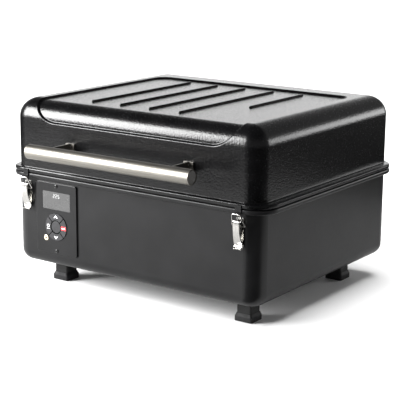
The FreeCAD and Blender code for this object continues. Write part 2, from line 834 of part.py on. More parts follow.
def make_latches():
    base, lever, bail, keeper = latch_base(), latch_lever(), latch_bail(), lid_keeper()
    pin = cylinder(s.latch_x - 6.6, LEVER_PIN_Y, LEVER_PIN_Z, PIN_RADIUS, 13.2, "X")
    rivets = []
    for z in (151, 163):
        rivets.append(cylinder(s.latch_x, FRONT - 2.4, z, 2.6, 1.2, "Y"))
        rivets.append(cylinder(s.latch_x, INSIDE_FRONT, z, 2.6, 1.2, "Y"))
    for name, piece in (
        ("latch_base", base),
        ("latch_lever", lever),
        ("latch_bail", bail),
        ("lid_keeper", keeper),
    ):
        keep(piece, f"{name}_right")
        keep(mirrored(piece), f"{name}_left")
    keep(fused(pin, mirrored(pin)), "latch_pins")
    right = fused(*rivets)
    keep(fused(right, mirrored(right)), "latch_rivets")


# ---------------------------------------------------------------- controls


def make_panel():
    panel = new_body()
    half = s.panel_width / 2
    plate = rectangle(s.panel_x - half, s.panel_x + half, s.panel_low, s.panel_high, 4)
    extrude(panel, "XZ_Plane", plate, PANEL_FRONT, FRONT)
    round_edges(panel, 1.0, edges_at_front(PANEL_FRONT))
    across, up = s.screen_width / 2 + 0.3, s.screen_height / 2 + 0.3
    recess = rectangle(
        s.panel_x - across, s.panel_x + across, s.screen_z - up, s.screen_z + up, 1
    )
    extrude(panel, "XZ_Plane", recess, PANEL_FRONT - 1, PANEL_FRONT + LENS_DEPTH, cut=True)
    holes = [
        circle(s.panel_x, s.pad_z, s.pad_radius),
        circle(s.jack_x, s.jack_z, JACK_BODY + 0.1),
        *[circle(s.panel_x, z, PANEL_SCREW_HOLE) for z in PANEL_SCREW_HEIGHTS],
    ]
    extrude(panel, "XZ_Plane", holes, PANEL_FRONT - 1, FRONT + 1, cut=True)
    keep(panel, "control_panel")

    lens = new_body()
    across, up = s.screen_width / 2, s.screen_height / 2
    glass = rectangle(
        s.panel_x - across, s.panel_x + across, s.screen_z - up, s.screen_z + up, 0.8
    )
    extrude(lens, "XZ_Plane", glass, PANEL_FRONT + 0.4, PANEL_FRONT + LENS_DEPTH)
    keep(lens, "screen_lens")

    screws = []
    for z in PANEL_SCREW_HEIGHTS:
        screws.append(cylinder(s.panel_x, PANEL_FRONT - 1.8, z, SCREW_HEAD, 1.8, "Y"))
        screws.append(cylinder(s.panel_x, PANEL_FRONT, z, 2, 9, "Y"))
    keep(fused(*screws), "panel_screws")


def make_jack():
    jack = new_body()
    mouth = PANEL_FRONT - 1.4
    extrude(jack, "XZ_Plane", circle(s.jack_x, s.jack_z, 5), mouth, PANEL_FRONT)
    round_edges(jack, 0.9, edges_at_front(mouth))
    extrude(jack, "XZ_Plane", circle(s.jack_x, s.jack_z, JACK_BODY), PANEL_FRONT, FRONT + 3)
    extrude(jack, "XZ_Plane", circle(s.jack_x, s.jack_z, JACK_BORE), mouth, FRONT + 2, cut=True)
    keep(jack, "probe_jack")


def make_buttons():
    front, back = PANEL_FRONT - s.button_proud, FRONT + 1.2
    outer = s.pad_radius - 0.35
    inner = s.middle_button + s.button_gap
    point = s.button_gap * 0.7071
    reach = 30
    corners = {
        "up": [(0, point), (reach, point + reach), (-reach, point + reach)],
        "down": [(0, -point), (-reach, -point - reach), (reach, -point - reach)],
        "right": [(point, 0), (point + reach, -reach), (point + reach, reach)],
        "left": [(-point, 0), (-point - reach, reach), (-point - reach, -reach)],
    }
    for name, triangle in corners.items():
        ring = new_body()
        extrude(ring, "XZ_Plane", circle(s.panel_x, s.pad_z, outer), front, back)
        round_edges(ring, 0.7, edges_at_front(front))
        collar = circle(s.panel_x, s.pad_z, s.pad_radius + 1.3)
        extrude(ring, "XZ_Plane", collar, FRONT + 0.3, back)
        extrude(ring, "XZ_Plane", circle(s.panel_x, s.pad_z, inner), front, back, cut=True)
        wedge = new_body()
        spots = [(s.panel_x + x, s.pad_z + z) for x, z in triangle]
        extrude(wedge, "XZ_Plane", polygon(*spots), front - 1, back + 1)
        keep(shared(ring, wedge), f"button_{name}")
    middle = new_body()
    disc = circle(s.panel_x, s.pad_z, s.middle_button)
    extrude(middle, "XZ_Plane", disc, front + 0.4, back)
    round_edges(middle, 0.7, edges_at_front(front + 0.4))
    keep(middle, "button_middle")


def make_board():
    board = new_body()
    low, high = s.panel_low + 14, s.panel_high - 13
    plate = rectangle(s.panel_x - 35, s.panel_x + 35, low, high, 2)
    extrude(board, "XZ_Plane", plate, FRONT + 5, FRONT + 6.6)
    posts = [
        circle(s.panel_x + side * 31, z, 2.5) for side in (-1, 1) for z in (low + 5, high - 5)
    ]
    extrude(board, "XZ_Plane", posts, FRONT, FRONT + 5)
    chips = [
        rectangle(s.panel_x - 20, s.panel_x - 6, s.pad_z + 20, s.pad_z + 34),
        rectangle(s.panel_x + 4, s.panel_x + 24, s.pad_z + 16, s.pad_z + 30),
        rectangle(s.panel_x - 24, s.panel_x + 20, s.pad_z - 20, s.pad_z - 8),
    ]
    extrude(board, "XZ_Plane", chips, FRONT + 6.6, FRONT + 12)
    keep(board, "controller_board")


def make_inlet():
    x, z = INLET_X, INLET_Z
    inlet = new_body()
    flange = rectangle(x - 19, x + 19, z - 14, z + 14, 3)
    extrude(inlet, "XZ_Plane", flange, s.shell_back, s.shell_back + 2)
    extrude(inlet, "XZ_Plane", rectangle(x - 14, x + 14, z - 10, z + 10, 2),
            INSIDE_BACK - 20, s.shell_back)
    extrude(inlet, "XZ_Plane", rectangle(x - 12, x + 12, z - 8, z + 8, 2),
            INSIDE_BACK - 14, s.shell_back + 2, cut=True)
    blades = [rectangle(x + i * 7 - 1, x + i * 7 + 1, z - 2, z + 2) for i in (-1, 0, 1)]
    extrude(inlet, "XZ_Plane", blades, INSIDE_BACK - 15, INSIDE_BACK - 2)
    keep(inlet, "power_inlet")


# ---------------------------------------------------------------- pellet bay


def make_partition():
    wall = new_body()
    low = FLOOR + 0.3
    near, far = INSIDE_FRONT + 0.4, INSIDE_BACK - 0.4
    side_view = polygon(
        (near, s.deck_top), (near, low + 20), (near + 6, low + 6), (near + 20, low),
        (far - 20, low), (far - 6, low + 6), (far, low + 20), (far, s.deck_top),
    )
    extrude(wall, "YZ_Plane", side_view, s.partition_x, CHAMBER_LEFT)
    left = s.wall + 0.4 - HALF_WIDTH
    deck = polygon(
        (CHAMBER_LEFT, near), (CHAMBER_LEFT, far), (left + 27, far), (left + 8.5, far - 8.5),
        (left, far - 27), (left, near + 27), (left + 8.5, near + 8.5), (left + 27, near),
    )
    extrude(wall, "XY_Plane", deck, DECK_UNDER, s.deck_top)
    filler = rectangle(BIN_LEFT + 4, BIN_RIGHT - 4, BIN_FRONT + 4, BIN_BACK - 4, 6)
    extrude(wall, "XY_Plane", filler, DECK_UNDER - 1, s.deck_top + 1, cut=True)
    ports = [
        circle(SHELL_Y, s.auger_z, TUBE_RADIUS + 0.2),
        rectangle(FAN_Y + 14, FAN_Y + 36, FLOOR + 6, FLOOR + 28),
        circle(PROBE_Y, PROBE_Z, PROBE_RADIUS + 0.1),
    ]
    extrude(wall, "YZ_Plane", ports, s.partition_x - 1, CHAMBER_LEFT + 1, cut=True)
    lug = polygon(
        (HOPPER_AXIS - 2.4, s.deck_top), (HOPPER_AXIS - 2.4, HOPPER_AXIS_Z + 0.4),
        (HOPPER_AXIS - 1.2, HOPPER_AXIS_Z + 2.2), (HOPPER_AXIS + 1.2, HOPPER_AXIS_Z + 2.2),
        (HOPPER_AXIS + 2.4, HOPPER_AXIS_Z + 0.4), (HOPPER_AXIS + 2.4, s.deck_top),
    )
    for y in (BIN_FRONT + 20, BIN_BACK - 30):
        extrude(wall, "XZ_Plane", lug, y, y + 10)
    bore = circle(HOPPER_AXIS, HOPPER_AXIS_Z, HOPPER_PIN)
    extrude(wall, "XZ_Plane", bore, BIN_FRONT + 10, BIN_BACK - 10, cut=True)
    keep(wall, "bay_partition")


def make_hopper_lid():
    cover = new_body()
    under, over = s.deck_top + 1.0, s.deck_top + 2.5
    plate = rectangle(BIN_LEFT, HOPPER_AXIS - 2.8, BIN_FRONT, BIN_BACK, 5)
    extrude(cover, "XY_Plane", plate, under, over)
    middle = (BIN_FRONT + BIN_BACK) / 2
    tab = rectangle(BIN_LEFT, BIN_LEFT + 1.5, over - 1, over + 8)
    extrude(cover, "XZ_Plane", tab, middle - 22, middle + 22)
    knuckle = polygon(
        (HOPPER_AXIS - 6, under),
        (HOPPER_AXIS - 1, under),
        (HOPPER_AXIS + 2, HOPPER_AXIS_Z - 0.8),
        (HOPPER_AXIS + 2, HOPPER_AXIS_Z + 2),
        (HOPPER_AXIS - 1.5, HOPPER_AXIS_Z + 2),
        (HOPPER_AXIS - 6, over),
    )
    for y in (BIN_FRONT + 31, BIN_BACK - 43):
        extrude(cover, "XZ_Plane", knuckle, y, y + 12)
    bore = circle(HOPPER_AXIS, HOPPER_AXIS_Z, HOPPER_PIN + RUNNING_FIT)
    extrude(cover, "XZ_Plane", bore, BIN_FRONT, BIN_BACK, cut=True)
    keep(cover, "hopper_lid")
    pins = [
        cylinder(HOPPER_AXIS, y, HOPPER_AXIS_Z, HOPPER_PIN, 24, "Y")
        for y in (BIN_FRONT + 20, BIN_BACK - 44)
    ]
    keep(fused(*pins), "hopper_lid_pins")


def lofted(upper, lower, top, bottom):
    """A straight-sided solid between an outline at the top and one at the bottom."""
    body = new_body()
    sketches = []
    for outline, level in ((upper, top), (lower, bottom)):
        sketch = new_sketch(body, "XY_Plane", sized(level))
        outline(sketch)
        sketches.append(sketch)
    loft = body.newObject("PartDesign::AdditiveLoft", "Funnel")
    loft.Profile = sketches[0]
    loft.Sections = [sketches[1]]
    loft.Ruled = True
    return body


def hopper_wall(turn):
    """One sloping wall of the hopper, mitred where it is welded to the next."""

    def outline(left, right, near, far):
        outer = [(left, near), (right, near), (right, far), (left, far)]
        left, right, near, far = left + s.sheet, right - s.sheet, near + s.sheet, far - s.sheet
        inner = [(left, near), (right, near), (right, far), (left, far)]
        after = (turn + 1) % 4
        return polygon(outer[turn], outer[after], inner[after], inner[turn])

    return lofted(
        outline(BIN_LEFT, BIN_RIGHT, BIN_FRONT, BIN_BACK),
        outline(THROAT_LEFT, THROAT_RIGHT, THROAT_FRONT, THROAT_BACK),
        DECK_UNDER - 0.3,
        s.auger_z + TUBE_RADIUS + 1,
    )


def make_hopper():
    walls = doc.addObject("Part::Compound", "Walls")
    walls.Links = [hopper_wall(turn) for turn in range(4)]
    keep(walls, "hopper_bin")

    level = s.auger_z + 72
    near, far = SHELL_Y - 42, SHELL_Y + 98
    rods = []
    for i in range(9):
        y = near + i * (far - near) / 8
        rods.append(cylinder(BIN_LEFT + 16, y, level, 1.5, BIN_RIGHT - BIN_LEFT - 23.5, "X"))
    for x in (BIN_LEFT + 24, BIN_RIGHT - 16):
        rods.append(cylinder(x, near - 6, level, 1.5, far - near + 12, "Y"))
    keep(fused(*rods), "hopper_guard")


def make_auger():
    left, right = s.partition_x - 116, s.pot_x - s.pot_radius + 8
    tube = cylinder(left, SHELL_Y, s.auger_z, TUBE_RADIUS, right - left, "X")
    bore = cylinder(left - 1, SHELL_Y, s.auger_z, TUBE_RADIUS - 1.6, right - left + 2, "X")
    feed = box(
        THROAT_LEFT + 2, THROAT_RIGHT - 2, SHELL_Y - 12, SHELL_Y + 12, s.auger_z, s.auger_z + 30
    )
    keep(cut_away(tube, fused(bore, feed)), "auger_tube")

    pitch, thickness = 34, 2.4
    core, length = 5.0, (right - left).value - 8
    helix = Part.makeHelix(pitch, length - 6, s.auger_radius.value)
    low, reach = 2.0, s.auger_radius.value
    ring = [
        Vector(core - 1.5, 0, low),
        Vector(reach, 0, low),
        Vector(reach, 0, low + thickness),
        Vector(core - 1.5, 0, low + thickness),
    ]
    section = Part.makePolygon(ring + ring[:1])
    flight = Part.Wire(helix.Edges).makePipeShell([section], True, True)
    screw = flight.fuse(Part.makeCylinder(core, length))
    auger = part_feature(screw)
    start = Vector(left.value + 2, SHELL_Y.value, s.auger_z.value)
    auger.Placement = Placement(start, Rotation(Vector(0, 1, 0), 90))
    keep(auger, "auger")

    back = left - 32
    gearbox = box(back, left - 2, SHELL_Y - 24, SHELL_Y + 24, s.auger_z - 24, s.auger_z + 24)
    shaft = cylinder(left - 2, SHELL_Y, s.auger_z, 4, 3.5, "X")
    can = cylinder(back + 16, SHELL_Y + 24, s.auger_z, 13, 34, "Y")
    keep(fused(gearbox, shaft, can), "auger_motor")


def make_fan():
    x, y = FAN_X, FAN_Y
    low, high = FLOOR + 0.5, FLOOR + 33
    duct_end = s.partition_x - 0.3
    volute = fused(
        cylinder(x, y, low, 40, high - low),
        box(x, duct_end, y + 12, y + 38, low, high),
    )
    hollow = fused(
        cylinder(x, y, low + 1.5, 38.5, high - low - 3),
        box(x, duct_end + 1, y + 13.5, y + 36.5, low + 1.5, high - 1.5),
        cylinder(x, y, low - 1, 30, 4),
        cylinder(x, y, high - 3, 8, 5),
    )
    keep(cut_away(volute, hollow), "fan_housing")

    wheel = new_body()
    wheel_low, wheel_top = low + 4, high - 4
    extrude(wheel, "XY_Plane", circle(x, y, 34), wheel_top - 1.5, wheel_top)
    extrude(wheel, "XY_Plane", circle(x, y, 11), wheel_low, wheel_top)
    blades = []
    for i in range(16):
        turn = i * math.pi / 8
        corners = []
        for radius, lean in ((20, 0.0), (34, 0.35), (34, 0.40), (20, 0.08)):
            angle = turn + lean
            corners.append((x + radius * math.cos(angle), y + radius * math.sin(angle)))
        blades.append(polygon(*corners))
    extrude(wheel, "XY_Plane", blades, wheel_low, wheel_top - 1)
    extrude(wheel, "XY_Plane", circle(x, y, 2.5 + RUNNING_FIT), wheel_low - 1, wheel_top + 1,
            cut=True)
    keep(wheel, "fan_wheel")

    can = cylinder(x, y, high + 0.3, 18, 22)
    shaft = cylinder(x, y, wheel_low + 2, 2.5, high - wheel_low)
    keep(fused(can, shaft), "fan_motor")


# ---------------------------------------------------------------- cooking chamber


def make_fire_pot():
    pot = new_body()
    top = FLOOR + 68
    extrude(pot, "XY_Plane", circle(s.pot_x, SHELL_Y, s.pot_radius), FLOOR, top)
    hollow = circle(s.pot_x, SHELL_Y, s.pot_radius - 2.5)
    extrude(pot, "XY_Plane", hollow, FLOOR + 2.5, top, cut=True)
    feed = circle(SHELL_Y, s.auger_z, TUBE_RADIUS + 0.2)
    extrude(pot, "YZ_Plane", feed, s.pot_x - 50, s.pot_x - 20, cut=True)
    rod = circle(SHELL_Y, IGNITER_Z, IGNITER_RADIUS + 0.1)
    extrude(pot, "YZ_Plane", rod, s.pot_x - 50, s.pot_x - 20, cut=True)
    vents = []
    for level in (12, 24):
        for i in range(7):
            vent = cylinder(s.pot_x, SHELL_Y, FLOOR + level, 2.5, 50, "X")
            vent.Placement.Rotation = Rotation(Vector(0, 0, 1), -135 + 45 * i).multiply(
                Rotation(Vector(0, 1, 0), 90)
            )
            vents.append(vent)
    keep(cut_away(pot, fused(*vents)), "fire_pot")

    rod = cylinder(-60, SHELL_Y, IGNITER_Z, IGNITER_RADIUS, s.pot_x - s.pot_radius + 74, "X")
    keep(rod, "igniter_rod")


def make_baffle():
    left, right, near, far = TRAY_LEFT + 4, TRAY_RIGHT - 4, TRAY_FRONT + 6, TRAY_BACK - 6
    top = s.auger_z + 48
    baffle = new_body()
    extrude(baffle, "XY_Plane", rectangle(left, right, near, far, 6), top - s.sheet, top)
    legs = [
        rectangle(x, x + 20, y, y + s.sheet)
        for x in (left + 16, right - 36)
        for y in (near + 12, far - 12)
    ]
    extrude(baffle, "XY_Plane", legs, FLOOR, top - s.sheet)
    keep(baffle, "heat_baffle")

    tray = new_body()
    low = top + 8
    extrude(tray, "XY_Plane", rectangle(TRAY_LEFT, TRAY_RIGHT, TRAY_FRONT, TRAY_BACK, 12), low,
            low + 14)
    inside = rectangle(
        TRAY_LEFT + 1.5, TRAY_RIGHT - 1.5, TRAY_FRONT + 1.5, TRAY_BACK - 1.5, 10.5
    )
    extrude(tray, "XY_Plane", inside, low + 1.5, low + 14, cut=True)
    pads = [
        circle(x, y, 6) for x in (left + 30, right - 30) for y in (near + 30, far - 30)
    ]
    extrude(tray, "XY_Plane", pads, top, low)
    keep(tray, "drip_tray")


def make_grate():
    wire, bar = 3.0, 2.2
    left, right, near, far = TRAY_LEFT, TRAY_RIGHT, TRAY_FRONT, TRAY_BACK
    level = s.grate_z
    middle = (left + right) / 2
    frame = bent_rod(
        [
            (middle, near, level),
            (right, near, level),
            (right, far, level),
            (left, far, level),
            (left, near, level),
            (middle, near, level),
        ],
        wire,
        14,
    )
    pieces = [part_feature(frame)]
    for step in (0.25, 0.5, 0.75):
        y = near + (far - near) * step
        pieces.append(cylinder(left, y, level - 1.5, wire, right - left, "X"))
    count = 21
    for i in range(1, count):
        x = left + (right - left) * (i / count)
        pieces.append(cylinder(x, near, level + 1.5, bar, far - near, "Y"))
    keep(fused(*pieces, merge_faces=False), "cooking_grate")

    clips = []
    for x0, x1 in ((CHAMBER_LEFT, left + 8), (right - 8, CHAMBER_RIGHT)):
        for y in (near + 50, far - 74):
            clips.append(box(x0, x1, y, y + 24, level - wire - 2, level - wire))
    keep(fused(*clips), "grate_ledges")


def make_probe():
    rod = cylinder(s.partition_x - 14, PROBE_Y, PROBE_Z, PROBE_RADIUS, 50, "X")
    nut = cylinder(s.partition_x - 4, PROBE_Y, PROBE_Z, 5, 4, "X")
    keep(fused(rod, nut), "temperature_probe")


# ---------------------------------------------------------------- whole grill


def check_document():
    """Stops if any object failed, or if a cut took nothing away."""
    doc.recompute()
    for thing in doc.Objects:
        if {"Invalid", "Error"} & set(thing.State):
            raise RuntimeError(f"{thing.Name} failed: {thing.State}")
        if thing.TypeId == "PartDesign::Pocket":
            before = thing.BaseFeature.Shape.Volume
            if thing.Shape.Volume > before - 0.001:
                raise RuntimeError(f"{thing.Name} cuts nothing")
    for node in nodes:
        if node.Shape.isNull() or not node.Shape.isValid() or not node.Shape.Solids:
            raise RuntimeError(f"{node.Label} has no valid solid")


def write_nodes():
    os.makedirs("parts", exist_ok=True)
    for node in nodes:
        node.Shape.exportStep(f"parts/{node.Label}.step")


make_tub()
make_legs()
make_lid()
make_handle()
make_hinges()
make_latches()
make_panel()
make_jack()
make_buttons()
make_board()
make_inlet()
make_partition()
make_hopper_lid()
make_hopper()
make_auger()
make_fan()
make_fire_pot()
make_baffle()
make_grate()
make_probe()
check_document()
write_nodes()
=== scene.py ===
import math

import bmesh
import bpy
from mathutils import Matrix, Vector
from mathutils.geometry import delaunay_2d_cdt


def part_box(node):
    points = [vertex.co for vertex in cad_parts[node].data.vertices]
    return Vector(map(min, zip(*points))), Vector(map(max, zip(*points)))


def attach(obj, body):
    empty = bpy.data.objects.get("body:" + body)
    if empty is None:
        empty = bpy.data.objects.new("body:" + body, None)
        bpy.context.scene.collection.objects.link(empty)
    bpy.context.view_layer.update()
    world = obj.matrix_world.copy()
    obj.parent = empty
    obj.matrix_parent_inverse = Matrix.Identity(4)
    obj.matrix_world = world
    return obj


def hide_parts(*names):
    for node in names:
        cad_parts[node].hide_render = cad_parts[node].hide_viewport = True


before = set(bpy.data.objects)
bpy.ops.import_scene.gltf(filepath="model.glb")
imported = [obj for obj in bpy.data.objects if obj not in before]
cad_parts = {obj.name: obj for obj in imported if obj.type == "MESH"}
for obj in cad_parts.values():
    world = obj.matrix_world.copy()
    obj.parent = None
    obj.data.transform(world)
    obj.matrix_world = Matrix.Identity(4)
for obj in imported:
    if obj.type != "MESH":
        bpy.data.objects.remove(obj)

# A pellet smoker grill: looks built around its CAD frame. Metres, +Z up, front towards -Y.

for leftover in ("Cube", "Light", "Camera"):
    if leftover in bpy.data.objects:
        bpy.data.objects.remove(bpy.data.objects[leftover])
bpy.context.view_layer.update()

MM = 0.001


# ---------------------------------------------------------------- camera, floor and light

CAMERA_PLACE = Vector((1.2583, -1.7691, 0.6647))
CAMERA_AZIMUTH = math.radians(35.04)
CAMERA_ELEVATION = math.radians(13.28)
CAMERA_ROLL = math.radians(0.53)
LENS_MM, FILM_WIDTH_MM = 114.24, 36
SHIFT_X, SHIFT_Y = -0.0076, -0.0055

# How bright the studio is at each height: 0 is straight down, 0.5 level and 1 straight up.
SKY_LEVELS = ((0.47, 0.03), (0.50, 0.34), (0.60, 0.34), (0.75, 0.30), (0.86, 0.08), (1.0, 0.06))

LAMP_TARGET = Vector((0, 0, 0.2))
CEILING_STRENGTH, CEILING_SPREAD = 4.0, math.radians(40)
# Each softbox's name, direction from the target, distance, width, height and power in watts.
SOFTBOXES = (
    ("key_lamp", (-0.66, -0.70, 0.35), 2.6, 1.2, 1.45, 235),
    ("rim_lamp", (0.525, 0.84, 0.12), 2.6, 0.9, 0.6, 13),
    ("back_lamp", (-0.57, 0.82, 0.16), 3.4, 3.2, 1.3, 22),
)

FLOOR_REACH, FLOOR_SHADE = 30, 0.88
# Painted reflection: the grey sheet, darker than the floor, stands in for the floor in the grill's
# gloss only. Its corners leave out the floor at the front right, so that the grill's right side
# reflects the dark there.
PAINTED_REFLECTION_SHADE = 0.56
PAINTED_REFLECTION_OUTLINE = (
    (-1.1, -1.1), (0.12, -1.1), (0.2, -0.2), (0.90, -0.12), (0.90, 0.76), (-1.1, 0.76),
)
GLOSS_GAP = 0.0002


def make_camera():
    """A long lens in front of the grill's right corner, a little above it."""
    back = Vector(
        (
            math.sin(CAMERA_AZIMUTH) * math.cos(CAMERA_ELEVATION),
            -math.cos(CAMERA_AZIMUTH) * math.cos(CAMERA_ELEVATION),
            math.sin(CAMERA_ELEVATION),
        )
    )
    level = Vector((math.cos(CAMERA_AZIMUTH), math.sin(CAMERA_AZIMUTH), 0))
    upright = back.cross(level)
    right = level * math.cos(CAMERA_ROLL) + upright * math.sin(CAMERA_ROLL)
    up = upright * math.cos(CAMERA_ROLL) - level * math.sin(CAMERA_ROLL)
    data = bpy.data.cameras.new("camera")
    data.lens = LENS_MM
    data.sensor_width = FILM_WIDTH_MM
    data.shift_x = SHIFT_X
    data.shift_y = SHIFT_Y
    camera = bpy.data.objects.new("camera", data)
    camera.matrix_world = Matrix.Translation(CAMERA_PLACE) @ Matrix(
        (right, up, back)
    ).transposed().to_4x4()
    bpy.context.scene.collection.objects.link(camera)
    bpy.context.scene.camera = camera


def softbox(name, direction, distance, width, height, power):
    """A soft rectangular lamp that faces the grill's middle from a direction."""
    data = bpy.data.lights.new(name, "AREA")
    data.shape = "RECTANGLE"
    data.size = width
    data.size_y = height
    data.energy = power
    lamp = bpy.data.objects.new(name, data)
    away = Vector(direction).normalized()
    lamp.location = LAMP_TARGET + away * distance
    lamp.rotation_euler = away.to_track_quat("Z", "Y").to_euler()
    lamp.visible_camera = False
    bpy.context.scene.collection.objects.link(lamp)


def make_world():
    """A studio that is pale at eye level, dim overhead and dark below the floor."""
    world = bpy.data.worlds.new("studio")
    world.use_nodes = True
    nodes, links = world.node_tree.nodes, world.node_tree.links
    place = nodes.new("ShaderNodeTexCoord")
    split = nodes.new("ShaderNodeSeparateXYZ")
    height = nodes.new("ShaderNodeMapRange")
    height.inputs["From Min"].default_value = -1
    ramp = nodes.new("ShaderNodeValToRGB")
    links.new(place.outputs["Generated"], split.inputs["Vector"])
    links.new(split.outputs["Z"], height.inputs["Value"])
    links.new(height.outputs["Result"], ramp.inputs["Fac"])
    links.new(ramp.outputs["Color"], nodes["Background"].inputs["Color"])
    steps = ramp.color_ramp.elements
    while len(steps) < len(SKY_LEVELS):
        steps.new(0.5)
    for step, (position, level) in zip(steps, SKY_LEVELS):
        step.position = position
        step.color = (level, level, level, 1)
    bpy.context.scene.world = world


def floor_sheet(name, outline, level, shade):
    """A flat matt sheet, from its corners, its height and how pale it is."""
    paper = bpy.data.materials.new(f"{name}_paper")
    paper.use_nodes = True
    shader = paper.node_tree.nodes["Principled BSDF"]
    shader.inputs["Base Color"].default_value = (shade, shade, shade, 1)
    shader.inputs["Roughness"].default_value = 0.9
    shader.inputs["Specular IOR Level"].default_value = 0.1
    mesh = bpy.data.meshes.new(name)
    mesh.from_pydata([(x, y, level) for x, y in outline], [], [range(len(outline))])
    mesh.materials.append(paper)
    sheet = bpy.data.objects.new(name, mesh)
    bpy.context.scene.collection.objects.link(sheet)
    return sheet


def make_floor():
    """One pale floor, kept out of the gloss. A greyer sheet, seen only in the grill's gloss, stands
    in for it there as a painted reflection, darker than the floor.
    """
    far = FLOOR_REACH
    corners = [(-far, -far), (far, -far), (far, far), (-far, far)]
    floor_sheet("floor_pale", corners, -GLOSS_GAP, FLOOR_SHADE).visible_glossy = False
    # Painted reflection: a darker sheet that only the grill's gloss sees, in place of the pale
    # floor.
    grey = floor_sheet("floor_in_gloss", PAINTED_REFLECTION_OUTLINE, 0, PAINTED_REFLECTION_SHADE)
    grey.visible_camera = False
    grey.visible_diffuse = False
    grey.visible_shadow = False


def overhead_light():
    """Even light from a broad soft ceiling, kept out of the gloss of the rounded corners."""
    data = bpy.data.lights.new("ceiling_lamp", "SUN")
    data.energy = CEILING_STRENGTH
    data.angle = CEILING_SPREAD
    lamp = bpy.data.objects.new("ceiling_lamp", data)
    bpy.context.scene.collection.objects.link(lamp)
    lamp.visible_glossy = False


def make_studio():
    make_camera()
    make_world()
    make_floor()
    overhead_light()
    for lamp in SOFTBOXES:
        softbox(*lamp)
    bpy.context.scene.view_settings.view_transform = "Standard"


# ---------------------------------------------------------------- finishes


class Finish:
    """A procedural material: one shader, and patterns for its colour, roughness and bumps."""

    def __init__(self, name, metallic=0.0):
        self.material = bpy.data.materials.new(name)
        self.material.use_nodes = True
        self.nodes = self.material.node_tree.nodes
        self.links = self.material.node_tree.links
        self.shader = self.nodes["Principled BSDF"]
        self.shader.inputs["Metallic"].default_value = metallic
        self.place = self.nodes.new("ShaderNodeTexCoord").outputs["Object"]

    def noise(self, size, detail=2.0, stretch=(1, 1, 1)):
        """Soft spots about `size` metres across, longer along an axis with a stretch above 1."""
        mapping = self.nodes.new("ShaderNodeMapping")
        mapping.inputs["Scale"].default_value = [1 / s for s in stretch]
        pattern = self.nodes.new("ShaderNodeTexNoise")
        pattern.inputs["Scale"].default_value = 1 / size
        pattern.inputs["Detail"].default_value = detail
        self.links.new(self.place, mapping.inputs["Vector"])
        self.links.new(mapping.outputs["Vector"], pattern.inputs["Vector"])
        return pattern.outputs["Fac"]

    def colours(self, pattern, dark, light, low=0.35, high=0.65):
        """Blends from dark to light where the pattern goes from low to high."""
        ramp = self.nodes.new("ShaderNodeValToRGB")
        ramp.color_ramp.elements[0].position = low
        ramp.color_ramp.elements[0].color = (*dark, 1)
        ramp.color_ramp.elements[1].position = high
        ramp.color_ramp.elements[1].color = (*light, 1)
        self.links.new(pattern, ramp.inputs["Fac"])
        self.links.new(ramp.outputs["Color"], self.shader.inputs["Base Color"])

    def roughness(self, pattern, smooth, rough):
        """Spreads the pattern's usual range, 0.3 to 0.7, from smooth to rough."""
        spread = self.nodes.new("ShaderNodeMapRange")
        spread.inputs["From Min"].default_value = 0.3
        spread.inputs["From Max"].default_value = 0.7
        spread.inputs["To Min"].default_value = smooth
        spread.inputs["To Max"].default_value = rough
        self.links.new(pattern, spread.inputs["Value"])
        self.links.new(spread.outputs["Result"], self.shader.inputs["Roughness"])

    def bumps(self, pattern, height):
        """Raises the surface by up to `height` metres, on top of any bumps so far."""
        bump = self.nodes.new("ShaderNodeBump")
        bump.inputs["Distance"].default_value = height
        normal = self.shader.inputs["Normal"]
        if normal.is_linked:
            self.links.new(normal.links[0].from_socket, bump.inputs["Normal"])
        self.links.new(pattern, bump.inputs["Height"])
        self.links.new(bump.outputs["Normal"], normal)

    def gloss(self, **values):
        """Sets the shader's even values, named with underscores for spaces."""
        for name, value in values.items():
            self.shader.inputs[name.replace("_", " ")].default_value = value


def lid_coat():
    """Black powder coat with a fine orange-peel texture."""
    finish = Finish("lid_coat_black")
    finish.colours(finish.noise(0.030), (0.0010, 0.0010, 0.0012), (0.0022, 0.0022, 0.0024))
    finish.roughness(finish.noise(0.0022), 0.19, 0.28)
    finish.bumps(finish.noise(0.0030, 1), 0.00022)
    finish.bumps(finish.noise(0.0010, 1), 0.00003)
    finish.gloss(Specular_IOR_Level=0.28)
    return finish.material


def tub_coat():
    """Satin black paint, smoother than the lid's."""
    finish = Finish("tub_coat_black")
    finish.colours(finish.noise(0.05), (0.0035, 0.0035, 0.0038), (0.0060, 0.0060, 0.0064))
    finish.roughness(finish.noise(0.006), 0.28, 0.34)
    finish.bumps(finish.noise(0.0009, 2), 0.00003)
    finish.gloss(Specular_IOR_Level=0.24)
    return finish.material


def leg_coat():
    finish = Finish("leg_coat_black")
    finish.colours(finish.noise(0.02), (0.005, 0.005, 0.005), (0.009, 0.009, 0.009))
    finish.roughness(finish.noise(0.004), 0.45, 0.58)
    finish.bumps(finish.noise(0.001, 2), 0.00004)
    finish.gloss(Specular_IOR_Level=0.25)
    return finish.material


def foot_rubber():
    finish = Finish("foot_rubber_black")
    finish.colours(finish.noise(0.012, 4), (0.006, 0.006, 0.0065), (0.012, 0.012, 0.0125))
    finish.roughness(finish.noise(0.003), 0.55, 0.72)
    finish.bumps(finish.noise(0.0007, 3), 0.00005)
    finish.gloss(Specular_IOR_Level=0.22)
    return finish.material


def handle_steel():
    """Stainless tube with fine brush lines along it."""
    finish = Finish("handle_steel_brushed", metallic=1.0)
    lines = finish.noise(0.0004, 3, (90, 1, 1))
    finish.colours(lines, (0.165, 0.156, 0.139), (0.235, 0.224, 0.202))
    finish.roughness(lines, 0.38, 0.50)
    finish.bumps(lines, 0.00001)
    return finish.material


def latch_steel():
    """Bright stamped steel, polished with a faint grain down its length."""
    finish = Finish("latch_steel_bright", metallic=1.0)
    grain = finish.noise(0.0005, 3, (1, 1, 30))
    finish.colours(grain, (0.34, 0.335, 0.32), (0.50, 0.49, 0.47))
    finish.roughness(grain, 0.17, 0.27)
    finish.bumps(grain, 0.00001)
    return finish.material


